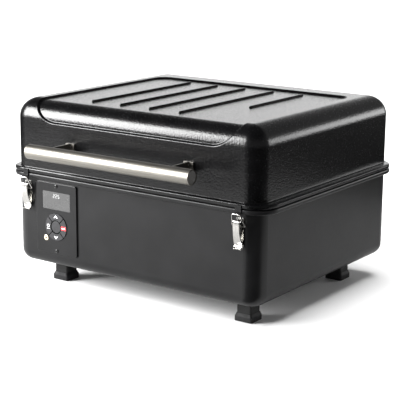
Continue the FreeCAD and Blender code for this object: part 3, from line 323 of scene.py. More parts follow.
def cap_plastic():
    finish = Finish("cap_plastic_grey")
    finish.colours(finish.noise(0.004, 3), (0.045, 0.044, 0.042), (0.070, 0.068, 0.065))
    finish.roughness(finish.noise(0.002), 0.40, 0.55)
    finish.bumps(finish.noise(0.0006, 2), 0.00003)
    return finish.material


def zinc_steel():
    """Galvanised sheet with soft spangles."""
    finish = Finish("zinc_steel_spangled", metallic=1.0)
    finish.colours(finish.noise(0.006, 1), (0.34, 0.35, 0.36), (0.50, 0.51, 0.52), 0.4, 0.6)
    finish.roughness(finish.noise(0.005, 1), 0.30, 0.50)
    finish.bumps(finish.noise(0.002, 2), 0.00002)
    return finish.material


def black_screw():
    finish = Finish("black_screw_oxide", metallic=0.6)
    finish.colours(finish.noise(0.002), (0.012, 0.012, 0.012), (0.024, 0.024, 0.024))
    finish.roughness(finish.noise(0.001), 0.22, 0.34)
    finish.bumps(finish.noise(0.0006), 0.00002)
    return finish.material


def screen_glass():
    """A grey display behind a clear front."""
    finish = Finish("screen_glass_grey")
    finish.colours(finish.noise(0.02), (0.024, 0.024, 0.024), (0.030, 0.030, 0.030))
    finish.roughness(finish.noise(0.003), 0.18, 0.24)
    finish.gloss(Coat_Weight=0.6, Coat_Roughness=0.05)
    return finish.material


def button_rubber():
    finish = Finish("button_rubber_black")
    finish.colours(finish.noise(0.008), (0.014, 0.014, 0.015), (0.020, 0.020, 0.022))
    finish.roughness(finish.noise(0.002), 0.48, 0.58)
    finish.bumps(finish.noise(0.0005, 2), 0.00002)
    finish.gloss(Specular_IOR_Level=0.30)
    return finish.material


def jack_brass():
    finish = Finish("jack_brass_pale", metallic=1.0)
    rings = finish.noise(0.0006, 2)
    finish.colours(rings, (0.72, 0.62, 0.44), (0.90, 0.82, 0.66))
    finish.roughness(rings, 0.20, 0.34)
    finish.bumps(rings, 0.00001)
    return finish.material


def board_green():
    finish = Finish("board_green_mask")
    finish.colours(finish.noise(0.004, 4), (0.008, 0.070, 0.030), (0.016, 0.110, 0.050))
    finish.roughness(finish.noise(0.002), 0.30, 0.42)
    finish.bumps(finish.noise(0.0012, 1), 0.00004)
    return finish.material


def black_plastic():
    finish = Finish("black_plastic_grained")
    finish.colours(finish.noise(0.005, 3), (0.014, 0.014, 0.015), (0.024, 0.024, 0.025))
    finish.roughness(finish.noise(0.002), 0.42, 0.56)
    finish.bumps(finish.noise(0.0007, 3), 0.00005)
    return finish.material


def motor_steel():
    finish = Finish("motor_steel_plated", metallic=1.0)
    lines = finish.noise(0.0008, 2, (1, 1, 12))
    finish.colours(lines, (0.28, 0.28, 0.29), (0.40, 0.40, 0.41))
    finish.roughness(lines, 0.32, 0.48)
    finish.bumps(finish.noise(0.001), 0.00002)
    return finish.material


def auger_steel():
    finish = Finish("auger_steel_rolled", metallic=1.0)
    finish.colours(finish.noise(0.004, 4), (0.22, 0.21, 0.20), (0.38, 0.37, 0.35))
    finish.roughness(finish.noise(0.002), 0.35, 0.55)
    finish.bumps(finish.noise(0.001, 2), 0.00004)
    return finish.material


def burnt_steel():
    """Uncoated steel, blued and browned by the fire."""
    finish = Finish("burnt_steel_browned", metallic=0.8)
    finish.colours(finish.noise(0.035, 5), (0.060, 0.048, 0.045), (0.20, 0.17, 0.15))
    finish.roughness(finish.noise(0.006, 3), 0.42, 0.66)
    finish.bumps(finish.noise(0.0015, 3), 0.00005)
    return finish.material


def grate_enamel():
    finish = Finish("grate_enamel_black")
    finish.colours(finish.noise(0.010, 3), (0.010, 0.010, 0.011), (0.022, 0.022, 0.023))
    finish.roughness(finish.noise(0.004), 0.18, 0.32)
    finish.bumps(finish.noise(0.0025, 2), 0.00008)
    return finish.material


def probe_steel():
    finish = Finish("probe_steel_drawn", metallic=1.0)
    lines = finish.noise(0.0004, 2, (30, 1, 1))
    finish.colours(lines, (0.48, 0.47, 0.46), (0.62, 0.61, 0.60))
    finish.roughness(lines, 0.24, 0.38)
    finish.bumps(lines, 0.00001)
    return finish.material


def printed(name, colour):
    """Print on a button or the screen: a plain ink, slightly uneven."""
    finish = Finish(name)
    worn = [0.88 * c for c in colour]
    finish.colours(finish.noise(0.0008, 2), worn, colour)
    finish.roughness(finish.noise(0.0006), 0.40, 0.52)
    return finish.material


FINISHES = {
    make.__name__: make()
    for make in (
        lid_coat, tub_coat, leg_coat, foot_rubber, handle_steel, latch_steel, cap_plastic,
        zinc_steel, black_screw, screen_glass, button_rubber, jack_brass, board_green,
        black_plastic, motor_steel, auger_steel, burnt_steel, grate_enamel, probe_steel,
    )
}
WHITE_INK = printed("ink_white", (0.82, 0.82, 0.82))
GREY_INK = printed("ink_grey", (0.34, 0.34, 0.34))
RED_INK = printed("ink_red", (0.62, 0.020, 0.025))


def finish_cad_nodes():
    """Gives every CAD node the finish that its slot names."""
    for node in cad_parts.values():
        for place in node.material_slots:
            place.material = FINISHES[place.material.name.split(".")[0]]


# ---------------------------------------------------------------- mesh helpers


def add_piece(name, mesh, body, slot, replaced=(), finish=None):
    """Adds a finished mesh to the scene as a piece of a body."""
    piece = bpy.data.objects.new(name, mesh)
    bpy.context.scene.collection.objects.link(piece)
    mesh.materials.append(finish or FINISHES[slot])
    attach(piece, body)
    if replaced:
        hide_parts(*replaced)
    return piece


def smooth_mesh(name, shape, angle=40):
    """Turns a bmesh into a mesh, smooth but for edges sharper than an angle."""
    bmesh.ops.recalc_face_normals(shape, faces=shape.faces)
    for face in shape.faces:
        face.smooth = True
    limit = math.radians(angle)
    for edge in shape.edges:
        if len(edge.link_faces) == 2 and edge.calc_face_angle(0) > limit:
            edge.smooth = False
    mesh = bpy.data.meshes.new(name)
    shape.to_mesh(mesh)
    shape.free()
    return mesh


def even_normals(piece):
    """Large flat faces keep their flat look beside small rounded edges."""
    weighted = piece.modifiers.new("even_normals", "WEIGHTED_NORMAL")
    weighted.keep_sharp = True


def join_rings(shape, rings, closed=True):
    """Faces between neighbouring rings of bmesh vertices, all of one length."""
    for lower, upper in zip(rings, rings[1:]):
        count = len(lower)
        for i in range(count if closed else count - 1):
            j = (i + 1) % count
            shape.faces.new((lower[i], lower[j], upper[j], upper[i]))


def add_ring(shape, points):
    return [shape.verts.new(point) for point in points]


def weld(shape, distance=0.01 * MM):
    """Joins corners that meet, and drops faces and edges with no size."""
    bmesh.ops.remove_doubles(shape, verts=shape.verts, dist=distance)
    bmesh.ops.dissolve_degenerate(shape, edges=shape.edges, dist=distance)


def turned(shape, axis_point, direction, profile, steps=48):
    """A turned shape about a line. Its profile is (along, radius) pairs, closed by a radius of 0."""
    along = Vector(direction).normalized()
    side = along.orthogonal().normalized()
    other = along.cross(side)
    rings = []
    for distance, radius in profile:
        ring = []
        for i in range(steps):
            angle = 2 * math.pi * i / steps
            reach = side * math.cos(angle) + other * math.sin(angle)
            ring.append(Vector(axis_point) + along * distance + reach * radius)
        rings.append(add_ring(shape, ring))
    join_rings(shape, rings)


def arc(x, y, radius, start, end, steps):
    """Points along an arc, from one angle in degrees to another."""
    angles = [math.radians(start + (end - start) * i / steps) for i in range(steps + 1)]
    return [(x + radius * math.cos(a), y + radius * math.sin(a)) for a in angles]


def rounded_plate(x, y, half_x, half_y, corner, steps):
    """The outline of a rectangle with rounded corners, anticlockwise from its lower right one."""
    points = []
    for side_x, side_y, start in ((1, -1, -90), (1, 1, 0), (-1, 1, 90), (-1, -1, 180)):
        centre_x = x + side_x * (half_x - corner)
        centre_y = y + side_y * (half_y - corner)
        points += arc(centre_x, centre_y, corner, start, start + 90, steps)
    return points


def prism(shape, near, far):
    """A closed solid between two matching outlines."""
    near, far = add_ring(shape, near), add_ring(shape, far)
    shape.faces.new(near)
    shape.faces.new(far[::-1])
    for i in range(len(near)):
        j = (i + 1) % len(near)
        shape.faces.new((near[i], far[i], far[j], near[j]))


# ---------------------------------------------------------------- lid

LID_LOW, LID_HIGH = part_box("lid_shell")
RIM_HALF = LID_HIGH.x
RIM_FRONT, RIM_BACK = LID_LOW.y, LID_HIGH.y
LID_HALF = RIM_HALF - 14.2 * MM
LID_FRONT = RIM_FRONT + 5.5 * MM
LID_BACK = RIM_BACK - 1.3 * MM
LID_BOTTOM = LID_LOW.z
LID_TOP = LID_HIGH.z - 0.6 * MM
CORNER = 28 * MM
RIM_CORNER = 38.7 * MM
FILLET = 34 * MM
SHEET = 2 * MM
RIM_HEIGHT = 8 * MM
RIM_ROUND = 2.6 * MM
RIM_NECK = 1.5 * MM
WALL_START = LID_BOTTOM + RIM_HEIGHT + RIM_NECK
FILLET_START = LID_TOP - FILLET
SEAM = LID_HALF - FILLET
SEAM_FRONT, SEAM_BACK = LID_FRONT + FILLET, LID_BACK - FILLET
WALL_RUN = FILLET_START - WALL_START
FILLET_RUN = FILLET * math.pi / 2
TOP_RUN = SEAM_BACK - SEAM_FRONT
STRIP_RUN = 2 * WALL_RUN + 2 * FILLET_RUN + TOP_RUN

PRESS_HALF = 206 * MM
PRESS_DEPTH = 3.4 * MM
PRESS_EDGE = 4.0 * MM
PRESS_FOOT_Z, PRESS_BACK = 293.5 * MM, 178.4 * MM
PRESS_LOW = PRESS_FOOT_Z - WALL_START
PRESS_HIGH = WALL_RUN + FILLET_RUN + PRESS_BACK - SEAM_FRONT
PRESS_LOW_CORNER, PRESS_HIGH_CORNER = 45 * MM, 22 * MM

RIB_RADIUS = 3.25 * MM
RIB_HEIGHT = 3.4 * MM
RIB_SLOPE = 2.3 * MM
RIB_PITCH = 61 * MM
RIB_LOW, SHORT_RIB_LOW, RIB_HIGH = -131.6 * MM, -16.6 * MM, 155.4 * MM

FILLET_STEPS = 24
CORNER_STEPS = 14
# Where the flat pattern has lines: across the press's edge, as shares of its width, and down a
# rib's side, as shares of its slope.
PRESS_LINES = (-0.62, -0.5, -0.34, -0.17, 0, 0.17, 0.34, 0.5, 0.62)
RIB_LINES = (-0.12, 0, 0.2, 0.4, 0.6, 0.8, 1)


def ease(t):
    """A smooth step from 0 to 1."""
    t = min(max(t, 0), 1)
    return t * t * (3 - 2 * t)


def on_strip(y):
    """How far up the lid's middle strip a place on the top is, from the front wall's foot."""
    return WALL_RUN + FILLET_RUN + y - SEAM_FRONT


def ribs():
    """Each rib's place across, and where it starts and ends along the strip."""
    for i in range(-2, 3):
        low = SHORT_RIB_LOW if i == 2 else RIB_LOW
        yield i * RIB_PITCH, on_strip(low) + RIB_RADIUS, on_strip(RIB_HIGH) - RIB_RADIUS


def press_distance(x, along):
    """How far outside the pressed panel's edge a place is, negative inside."""
    middle = (PRESS_LOW + PRESS_HIGH) / 2
    corner = PRESS_LOW_CORNER if along < middle else PRESS_HIGH_CORNER
    over_x = abs(x) - PRESS_HALF + corner
    over_s = abs(along - middle) - (PRESS_HIGH - PRESS_LOW) / 2 + corner
    outside = math.hypot(max(over_x, 0), max(over_s, 0))
    return outside + min(max(over_x, over_s), 0) - corner


def relief(x, along):
    """How far the lid's sheet stands out from its plain form."""
    level = -PRESS_DEPTH * ease(0.5 - press_distance(x, along) / PRESS_EDGE)
    for rib_x, low, high in ribs():
        past = max(low - along, along - high, 0)
        inside = RIB_RADIUS - math.hypot(x - rib_x, past)
        level += RIB_HEIGHT * ease(inside / RIB_SLOPE)
    return level


def strip_place(along):
    """The plain lid's (y, z) at a place up its middle strip, and its outward direction there."""
    back = along > STRIP_RUN / 2
    run = STRIP_RUN - along if back else along
    if run < WALL_RUN:
        y, z, out_y, out_z = 0, WALL_START + run, -1, 0
    elif run < WALL_RUN + FILLET_RUN:
        angle = (run - WALL_RUN) / FILLET
        out_y, out_z = -math.cos(angle), math.sin(angle)
        y, z = FILLET + FILLET * out_y, FILLET_START + FILLET * out_z
    else:
        y, z, out_y, out_z = run - WALL_RUN - FILLET_RUN + FILLET, LID_TOP, 0, 1
    if back:
        return LID_BACK - y, z, -out_y, out_z
    return LID_FRONT + y, z, out_y, out_z


def press_outline(grow, steps=22):
    """The pressed panel's edge, moved outward by an amount, as places on the strip."""
    points = []
    quarters = (
        (1, PRESS_LOW, 1, PRESS_LOW_CORNER, -90),
        (1, PRESS_HIGH, -1, PRESS_HIGH_CORNER, 0),
        (-1, PRESS_HIGH, -1, PRESS_HIGH_CORNER, 90),
        (-1, PRESS_LOW, 1, PRESS_LOW_CORNER, 180),
    )
    for side, edge, inward, corner, start in quarters:
        centre = side * (PRESS_HALF - corner), edge + inward * corner
        points += arc(*centre, corner + grow, start, start + 90, steps)
    return points


def rib_outline(rib_x, low, high, radius, steps=10):
    """A rib's outline on the strip: two sides joined by round ends."""
    upper_end = arc(rib_x, high, radius, 0, 180, steps)
    return upper_end + arc(rib_x, low, radius, 180, 360, steps)


def strip_pattern():
    """The lid's middle strip laid flat: its points and triangles, fine along every pressed edge."""
    points, edges = [], []

    def add_line(line, closed):
        first = len(points)
        points.extend(Vector(p) for p in line)
        edges.extend((first + i, first + i + 1) for i in range(len(line) - 1))
        if closed:
            edges.append((first + len(line) - 1, first))

    add_line([(-SEAM, 0), (SEAM, 0), (SEAM, STRIP_RUN), (-SEAM, STRIP_RUN)], True)
    for i in range(FILLET_STEPS + 1):
        up = WALL_RUN + FILLET_RUN * i / FILLET_STEPS
        for level in (up, STRIP_RUN - up):
            add_line([(-SEAM, level), (SEAM, level)], False)
    for share in PRESS_LINES:
        add_line(press_outline(share * PRESS_EDGE), True)
    for rib_x, low, high in ribs():
        for share in RIB_LINES:
            add_line(rib_outline(rib_x, low, high, RIB_RADIUS - share * RIB_SLOPE), True)
        add_line([(rib_x, low), (rib_x, high)], False)
    spots, _, triangles, *_ = delaunay_2d_cdt(points, edges, [], 0, 1e-7)
    return spots, triangles


def plan_ring(half, front, back, corner):
    """A closed outline seen from above, with a point at each seam and along each corner."""
    ring = []
    corners = (
        (1, front, 1, -90),
        (1, back, -1, 0),
        (-1, back, -1, 90),
        (-1, front, 1, 180),
    )
    for side, edge, inward, start in corners:
        centre = side * (half - corner), edge + inward * corner
        turn = [Vector(p) for p in arc(*centre, corner, start, start + 90, CORNER_STEPS)]
        seam_y = SEAM_FRONT if inward > 0 else SEAM_BACK
        on_face, on_side = Vector((side * SEAM, edge)), Vector((side * half, seam_y))
        if side * inward > 0:
            ring.extend([on_face, *turn, on_side])
        else:
            ring.extend([on_side, *turn, on_face])
    return ring


def wall_ring(inset, reach=0.0, shrink=1.0):
    """The wall's outline, inset by the sheet and then by a reach into the top's rounding."""
    total = inset + reach
    corner = (CORNER - inset) * shrink
    return plan_ring(LID_HALF - total, LID_FRONT + total, LID_BACK - total, corner)


def lifted(ring, z):
    """A flat outline's points at a height."""
    return [(x, y, z) for x, y in ring]


def sheet_side(shape, inset, pattern):
    """One face of the lid's sheet: the middle strip, then both ends with their corners."""
    spots, triangles = pattern
    places = []
    for spot in spots:
        y, z, out_y, out_z = strip_place(spot.y)
        level = relief(spot.x, spot.y) - inset
        places.append(shape.verts.new((spot.x, y + out_y * level, z + out_z * level)))
    for triangle in triangles:
        shape.faces.new([places[i] for i in triangle])

    radius = FILLET - inset
    rings = [add_ring(shape, lifted(wall_ring(inset), WALL_START))]
    for i in range(FILLET_STEPS + 1):
        angle = math.pi / 2 * i / FILLET_STEPS
        reach = radius * (1 - math.cos(angle))
        ring = wall_ring(inset, reach, math.cos(angle))
        rings.append(add_ring(shape, lifted(ring, FILLET_START + radius * math.sin(angle))))
    half_count = len(rings[0]) // 2
    for start in (0, half_count):
        join_rings(shape, [ring[start : start + half_count] for ring in rings], closed=False)


def lid_rim(shape):
    """The lid's rolled rim, from the outer wall's foot round to the inner wall's."""
    wall, rim = wall_ring(0), plan_ring(RIM_HALF, RIM_FRONT, RIM_BACK, RIM_CORNER)
    overhang = LID_FRONT - RIM_FRONT
    rim_top = LID_BOTTOM + RIM_HEIGHT
    edge = overhang - RIM_ROUND
    profile = arc(RIM_NECK, WALL_START, RIM_NECK, 180, 270, 4)
    profile += arc(edge, rim_top - RIM_ROUND, RIM_ROUND, 90, 0, 7)
    profile += arc(edge, LID_BOTTOM + RIM_ROUND, RIM_ROUND, 0, -90, 6)
    rings = []
    for reach, z in profile:
        share = reach / overhang
        ring = [near.lerp(far, share) for near, far in zip(wall, rim)]
        rings.append(add_ring(shape, lifted(ring, z)))
    for z in (LID_BOTTOM, WALL_START):
        rings.append(add_ring(shape, lifted(wall_ring(SHEET), z)))
    join_rings(shape, rings)


def make_lid():
    shape = bmesh.new()
    pattern = strip_pattern()
    for inset in (0, SHEET):
        sheet_side(shape, inset, pattern)
    lid_rim(shape)
    weld(shape)
    mesh = smooth_mesh("lid_body", shape, 50)
    even_normals(add_piece("lid_body", mesh, "lid", "lid_coat", ["lid_shell"]))


# ---------------------------------------------------------------- handle

BAR_LOW, BAR_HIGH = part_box("handle_bar")
BAR_RADIUS = (BAR_HIGH.z - BAR_LOW.z) / 2
BAR_HALF = BAR_HIGH.x
BAR_CENTRE = (0, (BAR_LOW.y + BAR_HIGH.y) / 2, (BAR_LOW.z + BAR_HIGH.z) / 2)
BAR_WALL = 1.5 * MM
BAR_LIP, BAR_SOFTENING = 0.5 * MM, 0.15 * MM
CAP_DEPTH, CAP_GAP = 8 * MM, 0.1 * MM
# A cap's outer face, from its edge to its middle: how far below the tube's end, and how far in
# from the cap's edge.
CAP_FACE = ((0.9 * MM, 0), (0.5 * MM, 0.4 * MM), (0.5 * MM, 1.6 * MM), (1.0 * MM, 2.4 * MM))


def make_tube():
    """The tube of the handle, with softened ends."""
    outside = [
        (BAR_HALF, BAR_RADIUS - BAR_WALL),
        (BAR_HALF, BAR_RADIUS - BAR_LIP),
        (BAR_HALF - BAR_SOFTENING, BAR_RADIUS - BAR_SOFTENING),
        (BAR_HALF - BAR_LIP, BAR_RADIUS),
    ]
    left = [(-x, radius) for x, radius in outside]
    shape = bmesh.new()
    turned(shape, BAR_CENTRE, (1, 0, 0), left + outside[::-1] + left[:1], 64)
    weld(shape)
    mesh = smooth_mesh("handle_tube", shape)
    even_normals(add_piece("handle_tube", mesh, "lid", "handle_steel", ["handle_bar"]))


def make_caps():
    """A shallow dished cap in each end of the tube."""
    shape = bmesh.new()
    edge = BAR_RADIUS - BAR_WALL - CAP_GAP
    for side in (-1, 1):
        inner_end = side * (BAR_HALF - CAP_DEPTH)
        face = [(side * (BAR_HALF - depth), edge - inward) for depth, inward in CAP_FACE]
        cap = [(inner_end, 0), (inner_end, edge), *face, (face[-1][0], 0)]
        turned(shape, BAR_CENTRE, (1, 0, 0), cap)
    weld(shape)
    mesh = smooth_mesh("handle_caps", shape)
    even_normals(add_piece("handle_caps", mesh, "lid", "cap_plastic", ["handle_end_caps"]))


# ---------------------------------------------------------------- rubber feet


FOOT_CORNER = 3.4 * MM
LEG_HALF = 13.8 * MM
FOOT_STEPS = 6


def make_foot(node):
    """A rubber boot: a straight base with a bead round it, and a sloped top about the leg."""
    low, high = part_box(node)
    centre, half, top = (low + high) / 2, (high.x - low.x) / 2, high.z
    # How far out and how high the boot's side goes, from under its base to inside its top.
    side_view = (
        (half - 3.0 * MM, 0.6 * MM),
        (half - 2.6 * MM, 0),
        (half - 0.9 * MM, 0),
        (half - 0.25 * MM, 0.3 * MM),
        (half, 1.0 * MM),
        (half, 8.3 * MM),
        (half - 0.2 * MM, 9.0 * MM),
        (half - 0.6 * MM, 9.4 * MM),
        (LEG_HALF + 0.9 * MM, top - 0.7 * MM),
        (LEG_HALF + 0.6 * MM, top - 0.2 * MM),
        (LEG_HALF + 0.3 * MM, top),
        (LEG_HALF, top - 0.3 * MM),
        (LEG_HALF, top - 4 * MM),
    )
    shape = bmesh.new()
    rings = []
    for reach, z in side_view:
        corner = FOOT_CORNER * reach / half
        outline = rounded_plate(centre.x, centre.y, reach, reach, corner, FOOT_STEPS)
        rings.append(add_ring(shape, lifted(outline, z)))
    join_rings(shape, rings)
    shape.faces.new(rings[0][::-1])
    shape.faces.new(rings[-1])
    mesh = smooth_mesh(f"{node}_boot", shape, 50)
    even_normals(add_piece(f"{node}_boot", mesh, "base", "foot_rubber", [node]))


# ---------------------------------------------------------------- panel screws


SCREW_STEPS, DOME_STEPS = 36, 5
DOME_END = 64
# Shares of the head's height: its straight side, the socket's rim, its edge and its floor.
STRAIGHT_SIDE, SOCKET_RIM, SOCKET_EDGE, SOCKET_FLOOR = 0.25, 0.97, 0.9, 0.3
# The side's upper end and the socket as shares of the head's radius, and the socket's rim as a
# share of the socket's.
SIDE_TOP, SOCKET_SHARE, RIM_SHARE = 0.99, 0.42, 1.12


def hexagon_reach(angle):
    """How far out a six-sided hole's side is at an angle, as a share of its corners' distance."""
    sixth = math.pi / 3
    from_flat = (angle + sixth / 2) % sixth - sixth / 2
    return math.cos(sixth / 2) / math.cos(from_flat)


def dome_screw(shape, x, face_y, z, radius, height):
    """A round-headed screw that faces the front, with a six-sided socket."""
    socket = radius * SOCKET_SHARE
    profile = [(0, radius, False), (STRAIGHT_SIDE * height, radius * SIDE_TOP, False)]
    for i in range(1, DOME_STEPS + 1):
        angle = math.radians(DOME_END * i / DOME_STEPS)
        rise = STRAIGHT_SIDE + (1 - STRAIGHT_SIDE) * math.sin(angle)
        profile.append((height * rise, radius * math.cos(angle), False))
    profile.append((height * SOCKET_RIM, socket * RIM_SHARE, False))
    profile += [(height * SOCKET_EDGE, socket, True), (height * SOCKET_FLOOR, socket, True)]
    rings = []
    for out, size, six_sided in profile:
        ring = []
        for i in range(SCREW_STEPS):
            angle = 2 * math.pi * i / SCREW_STEPS
            reach = size * (hexagon_reach(angle) if six_sided else 1)
            ring.append((x + reach * math.cos(angle), face_y - out, z + reach * math.sin(angle)))
        rings.append(add_ring(shape, ring))
    join_rings(shape, rings)
    shape.faces.new(rings[-1])
    shape.faces.new(rings[0][::-1])


def make_panel_screws():
    low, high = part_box("panel_screws")
    face_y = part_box("control_panel")[0].y
    radius = (high.x - low.x) / 2
    shape = bmesh.new()
    for z in (low.z + radius, high.z - radius):
        dome_screw(shape, (low.x + high.x) / 2, face_y, z, radius, face_y - low.y)
    mesh = smooth_mesh("panel_screw_heads", shape)
    add_piece("panel_screw_heads", mesh, "base", "black_screw", ["panel_screws"])


# ---------------------------------------------------------------- print on the buttons and screen

INK = 0.12 * MM


def ink_shape(shape, outline, face_y):
    """A thin raised print on a face towards the front, from an outline of (x, z) points."""
    front = [(x, face_y - INK, z) for x, z in outline]
    back = [(x, face_y + INK, z) for x, z in outline]
    prism(shape, front, back)


def ink_arc(shape, x, z, radius, width, start, end, face_y, steps=20):
    """A printed arc of even width."""
    outer = arc(x, z, radius + width / 2, start, end, steps)
    inner = arc(x, z, radius - width / 2, start, end, steps)
    ink_shape(shape, outer + inner[::-1], face_y)


def ink_plate(shape, x, z, half_x, half_z, corner, face_y, steps=5):
    """A printed rectangle with rounded corners."""
    ink_shape(shape, rounded_plate(x, z, half_x, half_z, corner, steps), face_y)


def add_print(name, shape, body, slot, ink):
    add_piece(name, smooth_mesh(name, shape, 30), body, slot, (), ink)


def middle_of(node):
    low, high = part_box(node)
    return (low.x + high.x) / 2, (low.z + high.z) / 2


# The upward arrow, in mm from its middle.
ARROW = ((-4.6, -1.9), (0, 3.0), (4.6, -1.9), (2.6, -1.9), (0, -0.4), (-2.6, -1.9))
ARROW_RISE = 0.8 * MM


def make_arrows(face_y):
    """A white arrow that points up on one button, and down on another."""
    for name, way in (("up", 1), ("down", -1)):
        x, z = middle_of(f"button_{name}")
        z += way * ARROW_RISE
        outline = [(x + ax * MM, z + way * az * MM) for ax, az in ARROW]
        shape = bmesh.new()
        ink_shape(shape, outline if way > 0 else outline[::-1], face_y)
        add_print(f"print_arrow_{name}", shape, f"button_{name}", "button_rubber", WHITE_INK)


def make_timer_ring(face_y):
    """An open white ring with a hand through its gap, over a short bar."""
    x, z = middle_of("button_left")
    shape = bmesh.new()
    ink_arc(shape, x, z + 1.0 * MM, 2.5 * MM, 0.8 * MM, 125, 415, face_y)
    ink_plate(shape, x, z + 2.8 * MM, 0.4 * MM, 1.7 * MM, 0.35 * MM, face_y)
    ink_plate(shape, x, z - 4.2 * MM, 3.2 * MM, 0.5 * MM, 0.4 * MM, face_y)
    add_print("print_timer_ring", shape, "button_left", "button_rubber", WHITE_INK)


def make_red_label(face_y):
    """A red label with a white bar on top of it."""
    x, z = middle_of("button_right")
    shape = bmesh.new()
    ink_plate(shape, x, z, 5.4 * MM, 3.4 * MM, 0.9 * MM, face_y)
    add_print("print_label_red", shape, "button_right", "button_rubber", RED_INK)
    shape = bmesh.new()
    ink_plate(shape, x, z, 3.8 * MM, 0.9 * MM, 0.5 * MM, face_y - INK)
    add_print("print_label_bar", shape, "button_right", "button_rubber", WHITE_INK)


def make_button_prints():
    face_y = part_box("button_up")[0].y
    make_arrows(face_y)
    make_timer_ring(face_y)
    make_red_label(face_y)


# Which of a digit's seven bars are lit: top, upper left, upper right, middle, lower left,
# lower right, bottom.
DIGIT_BARS = {"2": (1, 0, 1, 1, 1, 0, 1), "5": (1, 1, 0, 1, 0, 1, 1)}
DIGIT_HALF_X, DIGIT_HALF_Z, DIGIT_PITCH = 1.5 * MM, 3.0 * MM, 5.2 * MM
DIGIT_MARGIN = 4.0 * MM
STROKE_HALF, STROKE_END_GAP, STROKE_CORNER = 0.45 * MM, 0.2 * MM, 0.2 * MM


def digit_bars():
    """Each of a digit's seven bars: its middle, and how far it goes sideways and up."""
    wide, tall = DIGIT_HALF_X, DIGIT_HALF_Z / 2
    flat = (wide - STROKE_END_GAP, STROKE_HALF)
    upright = (STROKE_HALF, tall - STROKE_END_GAP)
    return (
        (0, DIGIT_HALF_Z, *flat), (-wide, tall, *upright), (wide, tall, *upright),
        (0, 0, *flat), (-wide, -tall, *upright), (wide, -tall, *upright),
        (0, -DIGIT_HALF_Z, *flat),
    )


def make_screen_print():
    """Plain seven-bar digits near the top of the screen, as on any thermometer."""
    low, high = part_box("screen_lens")
    z = high.z - DIGIT_MARGIN - DIGIT_HALF_Z
    shape = bmesh.new()
    for place, digit in enumerate("225"):
        x = (low.x + high.x) / 2 + (place - 1) * DIGIT_PITCH
        for lit, (dx, dz, half_x, half_z) in zip(DIGIT_BARS[digit], digit_bars()):
            if lit:
                ink_plate(shape, x + dx, z + dz, half_x, half_z, STROKE_CORNER, low.y, 2)
    add_print("print_screen_digits", shape, "base", "screen_glass", GREY_INK)


# ---------------------------------------------------------------- latches


def curve_through(points, steps=6):
    """A smooth Catmull-Rom line through points, each a Vector."""
    line = []
    for i in range(len(points) - 1):
        before, here = points[max(i - 1, 0)], points[i]
        ahead, beyond = points[i + 1], points[min(i + 2, len(points) - 1)]
        slope = ahead - before
        bend = 2 * before - 5 * here + 4 * ahead - beyond
        twist = 3 * here - before - 3 * ahead + beyond
        for k in range(steps):
            t = k / steps
            line.append(0.5 * (2 * here + slope * t + bend * t * t + twist * t * t * t))
    line.append(points[-1])
    return line


# Places on a lever are (out, z) in mm: how far in front of the lid's wall, and how high.
LEVER_PATH = (
    (10.2, 184.4), (11.8, 182.2), (12.1, 172), (11.0, 162),
    (8.0, 152), (5.2, 145.6), (5.0, 143), (6.6, 140.8), (9.0, 139.8),
)
FLANGE_OUTLINE = (
    (11.4, 182.4), (11.5, 172), (10.2, 162), (8.6, 161), (5.4, 165.4), (2.4, 172.6),
    (2.4, 177.4), (3.6, 181.2), (5.6, 183.4), (10.2, 184),
)
LEVER_SHEET = 1.1 * MM
NARROW_HALF, LEVER_WIDENING = 6.6 * MM, 1.9 * MM
ROLL, ROLLED_IN = 1.2 * MM, 0.9 * MM
DISH, DISH_START, DISH_SLOPE = 0.45 * MM, 2.4 * MM, 0.8 * MM
TIP_ROUNDING = 2.4 * MM
# Shares of the lever's length, from its pin to its free end.
WIDENS_FROM, WIDENS_OVER = 0.30, 0.35
DISH_FROM, DISH_TO, DISH_FADE = 0.28, 0.72, 0.12
TIP_FROM = 0.9


def on_wall(out, z):
    """A place's (y, z) in metres, from how far in front of the lid's wall it is and how high."""
    return LID_FRONT - out * MM, z * MM


def lever_half(share):
    """Half the lever's width at a share of its length."""
    half = NARROW_HALF + LEVER_WIDENING * ease((share - WIDENS_FROM) / WIDENS_OVER)
    if share > TIP_FROM:
        over = (share - TIP_FROM) / (1 - TIP_FROM)
        half -= TIP_ROUNDING * (1 - math.sqrt(max(0, 1 - over**2)))
    return half


def lever_dish(share):
    """How deep the dish down the lever's middle is at a share of its length."""
    rise, fall = (share - DISH_FROM) / DISH_FADE, (DISH_TO - share) / DISH_FADE
    return DISH * ease(rise) * ease(fall)


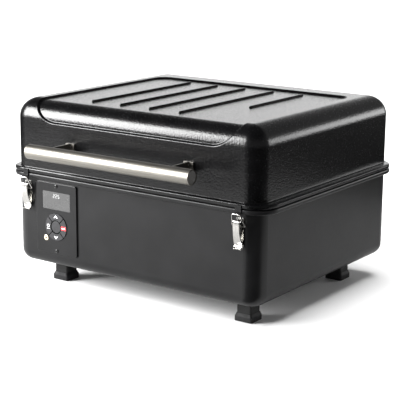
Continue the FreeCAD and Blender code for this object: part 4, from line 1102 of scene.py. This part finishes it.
def lever_section(half, dish):
    """Half of the lever's front across its width, as (across, depth), then the other half."""
    left = [(-half, ROLL), (-half + 0.3 * ROLL, 0.3 * ROLL), (-half + ROLL, 0)]
    left += [(-half + DISH_START, 0), (-half + DISH_START + DISH_SLOPE, dish)]
    return left + [(-across, depth) for across, depth in reversed(left)]


def lever_face(shape, x):
    """The stamped front of a latch lever: rolled sides, a shallow dish and a curled free end."""
    line = curve_through([Vector(on_wall(*place)) for place in LEVER_PATH])
    sections = []
    for i, spot in enumerate(line):
        ahead = (line[min(i + 1, len(line) - 1)] - line[max(i - 1, 0)]).normalized()
        inward = Vector((-ahead.y, ahead.x))
        share = i / (len(line) - 1)
        half, dish = lever_half(share), lever_dish(share)
        front, back = [], []
        for across, depth in lever_section(half, dish):
            rolled = depth > 0.9 * dish and abs(across) > half - ROLL
            squeeze = 1 - ROLLED_IN / half if rolled else 1
            outer = spot + inward * depth
            inner = spot + inward * (max(depth, 0.2 * LEVER_SHEET) + 0.8 * LEVER_SHEET)
            front.append((x + across, outer.x, outer.y))
            back.append((x + across * squeeze, inner.x, inner.y))
        sections.append(add_ring(shape, front + back[::-1]))
    join_rings(shape, sections)
    shape.faces.new(sections[0][::-1])
    shape.faces.new(sections[-1])


def lever_flanges(shape, x):
    """The two side plates that hold the pins."""
    outline = [on_wall(*place) for place in FLANGE_OUTLINE]
    for low in (x - NARROW_HALF, x + NARROW_HALF - LEVER_SHEET):
        near = [(low, y, z) for y, z in outline]
        far = [(low + LEVER_SHEET, y, z) for y, z in outline]
        prism(shape, near, far)


def make_latch_lever(node):
    low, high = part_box(node)
    x = (low.x + high.x) / 2
    shape = bmesh.new()
    lever_face(shape, x)
    lever_flanges(shape, x)
    mesh = smooth_mesh(f"{node}_stamped", shape, 45)
    even_normals(add_piece(f"{node}_stamped", mesh, node, "latch_steel", [node]))


# ---------------------------------------------------------------- the whole scene

make_studio()
finish_cad_nodes()
make_lid()
make_tube()
make_caps()
for foot in ("front_left", "front_right", "rear_left", "rear_right"):
    make_foot(f"foot_{foot}")
make_panel_screws()
make_button_prints()
make_screen_print()
for side in ("left", "right"):
    make_latch_lever(f"latch_lever_{side}")
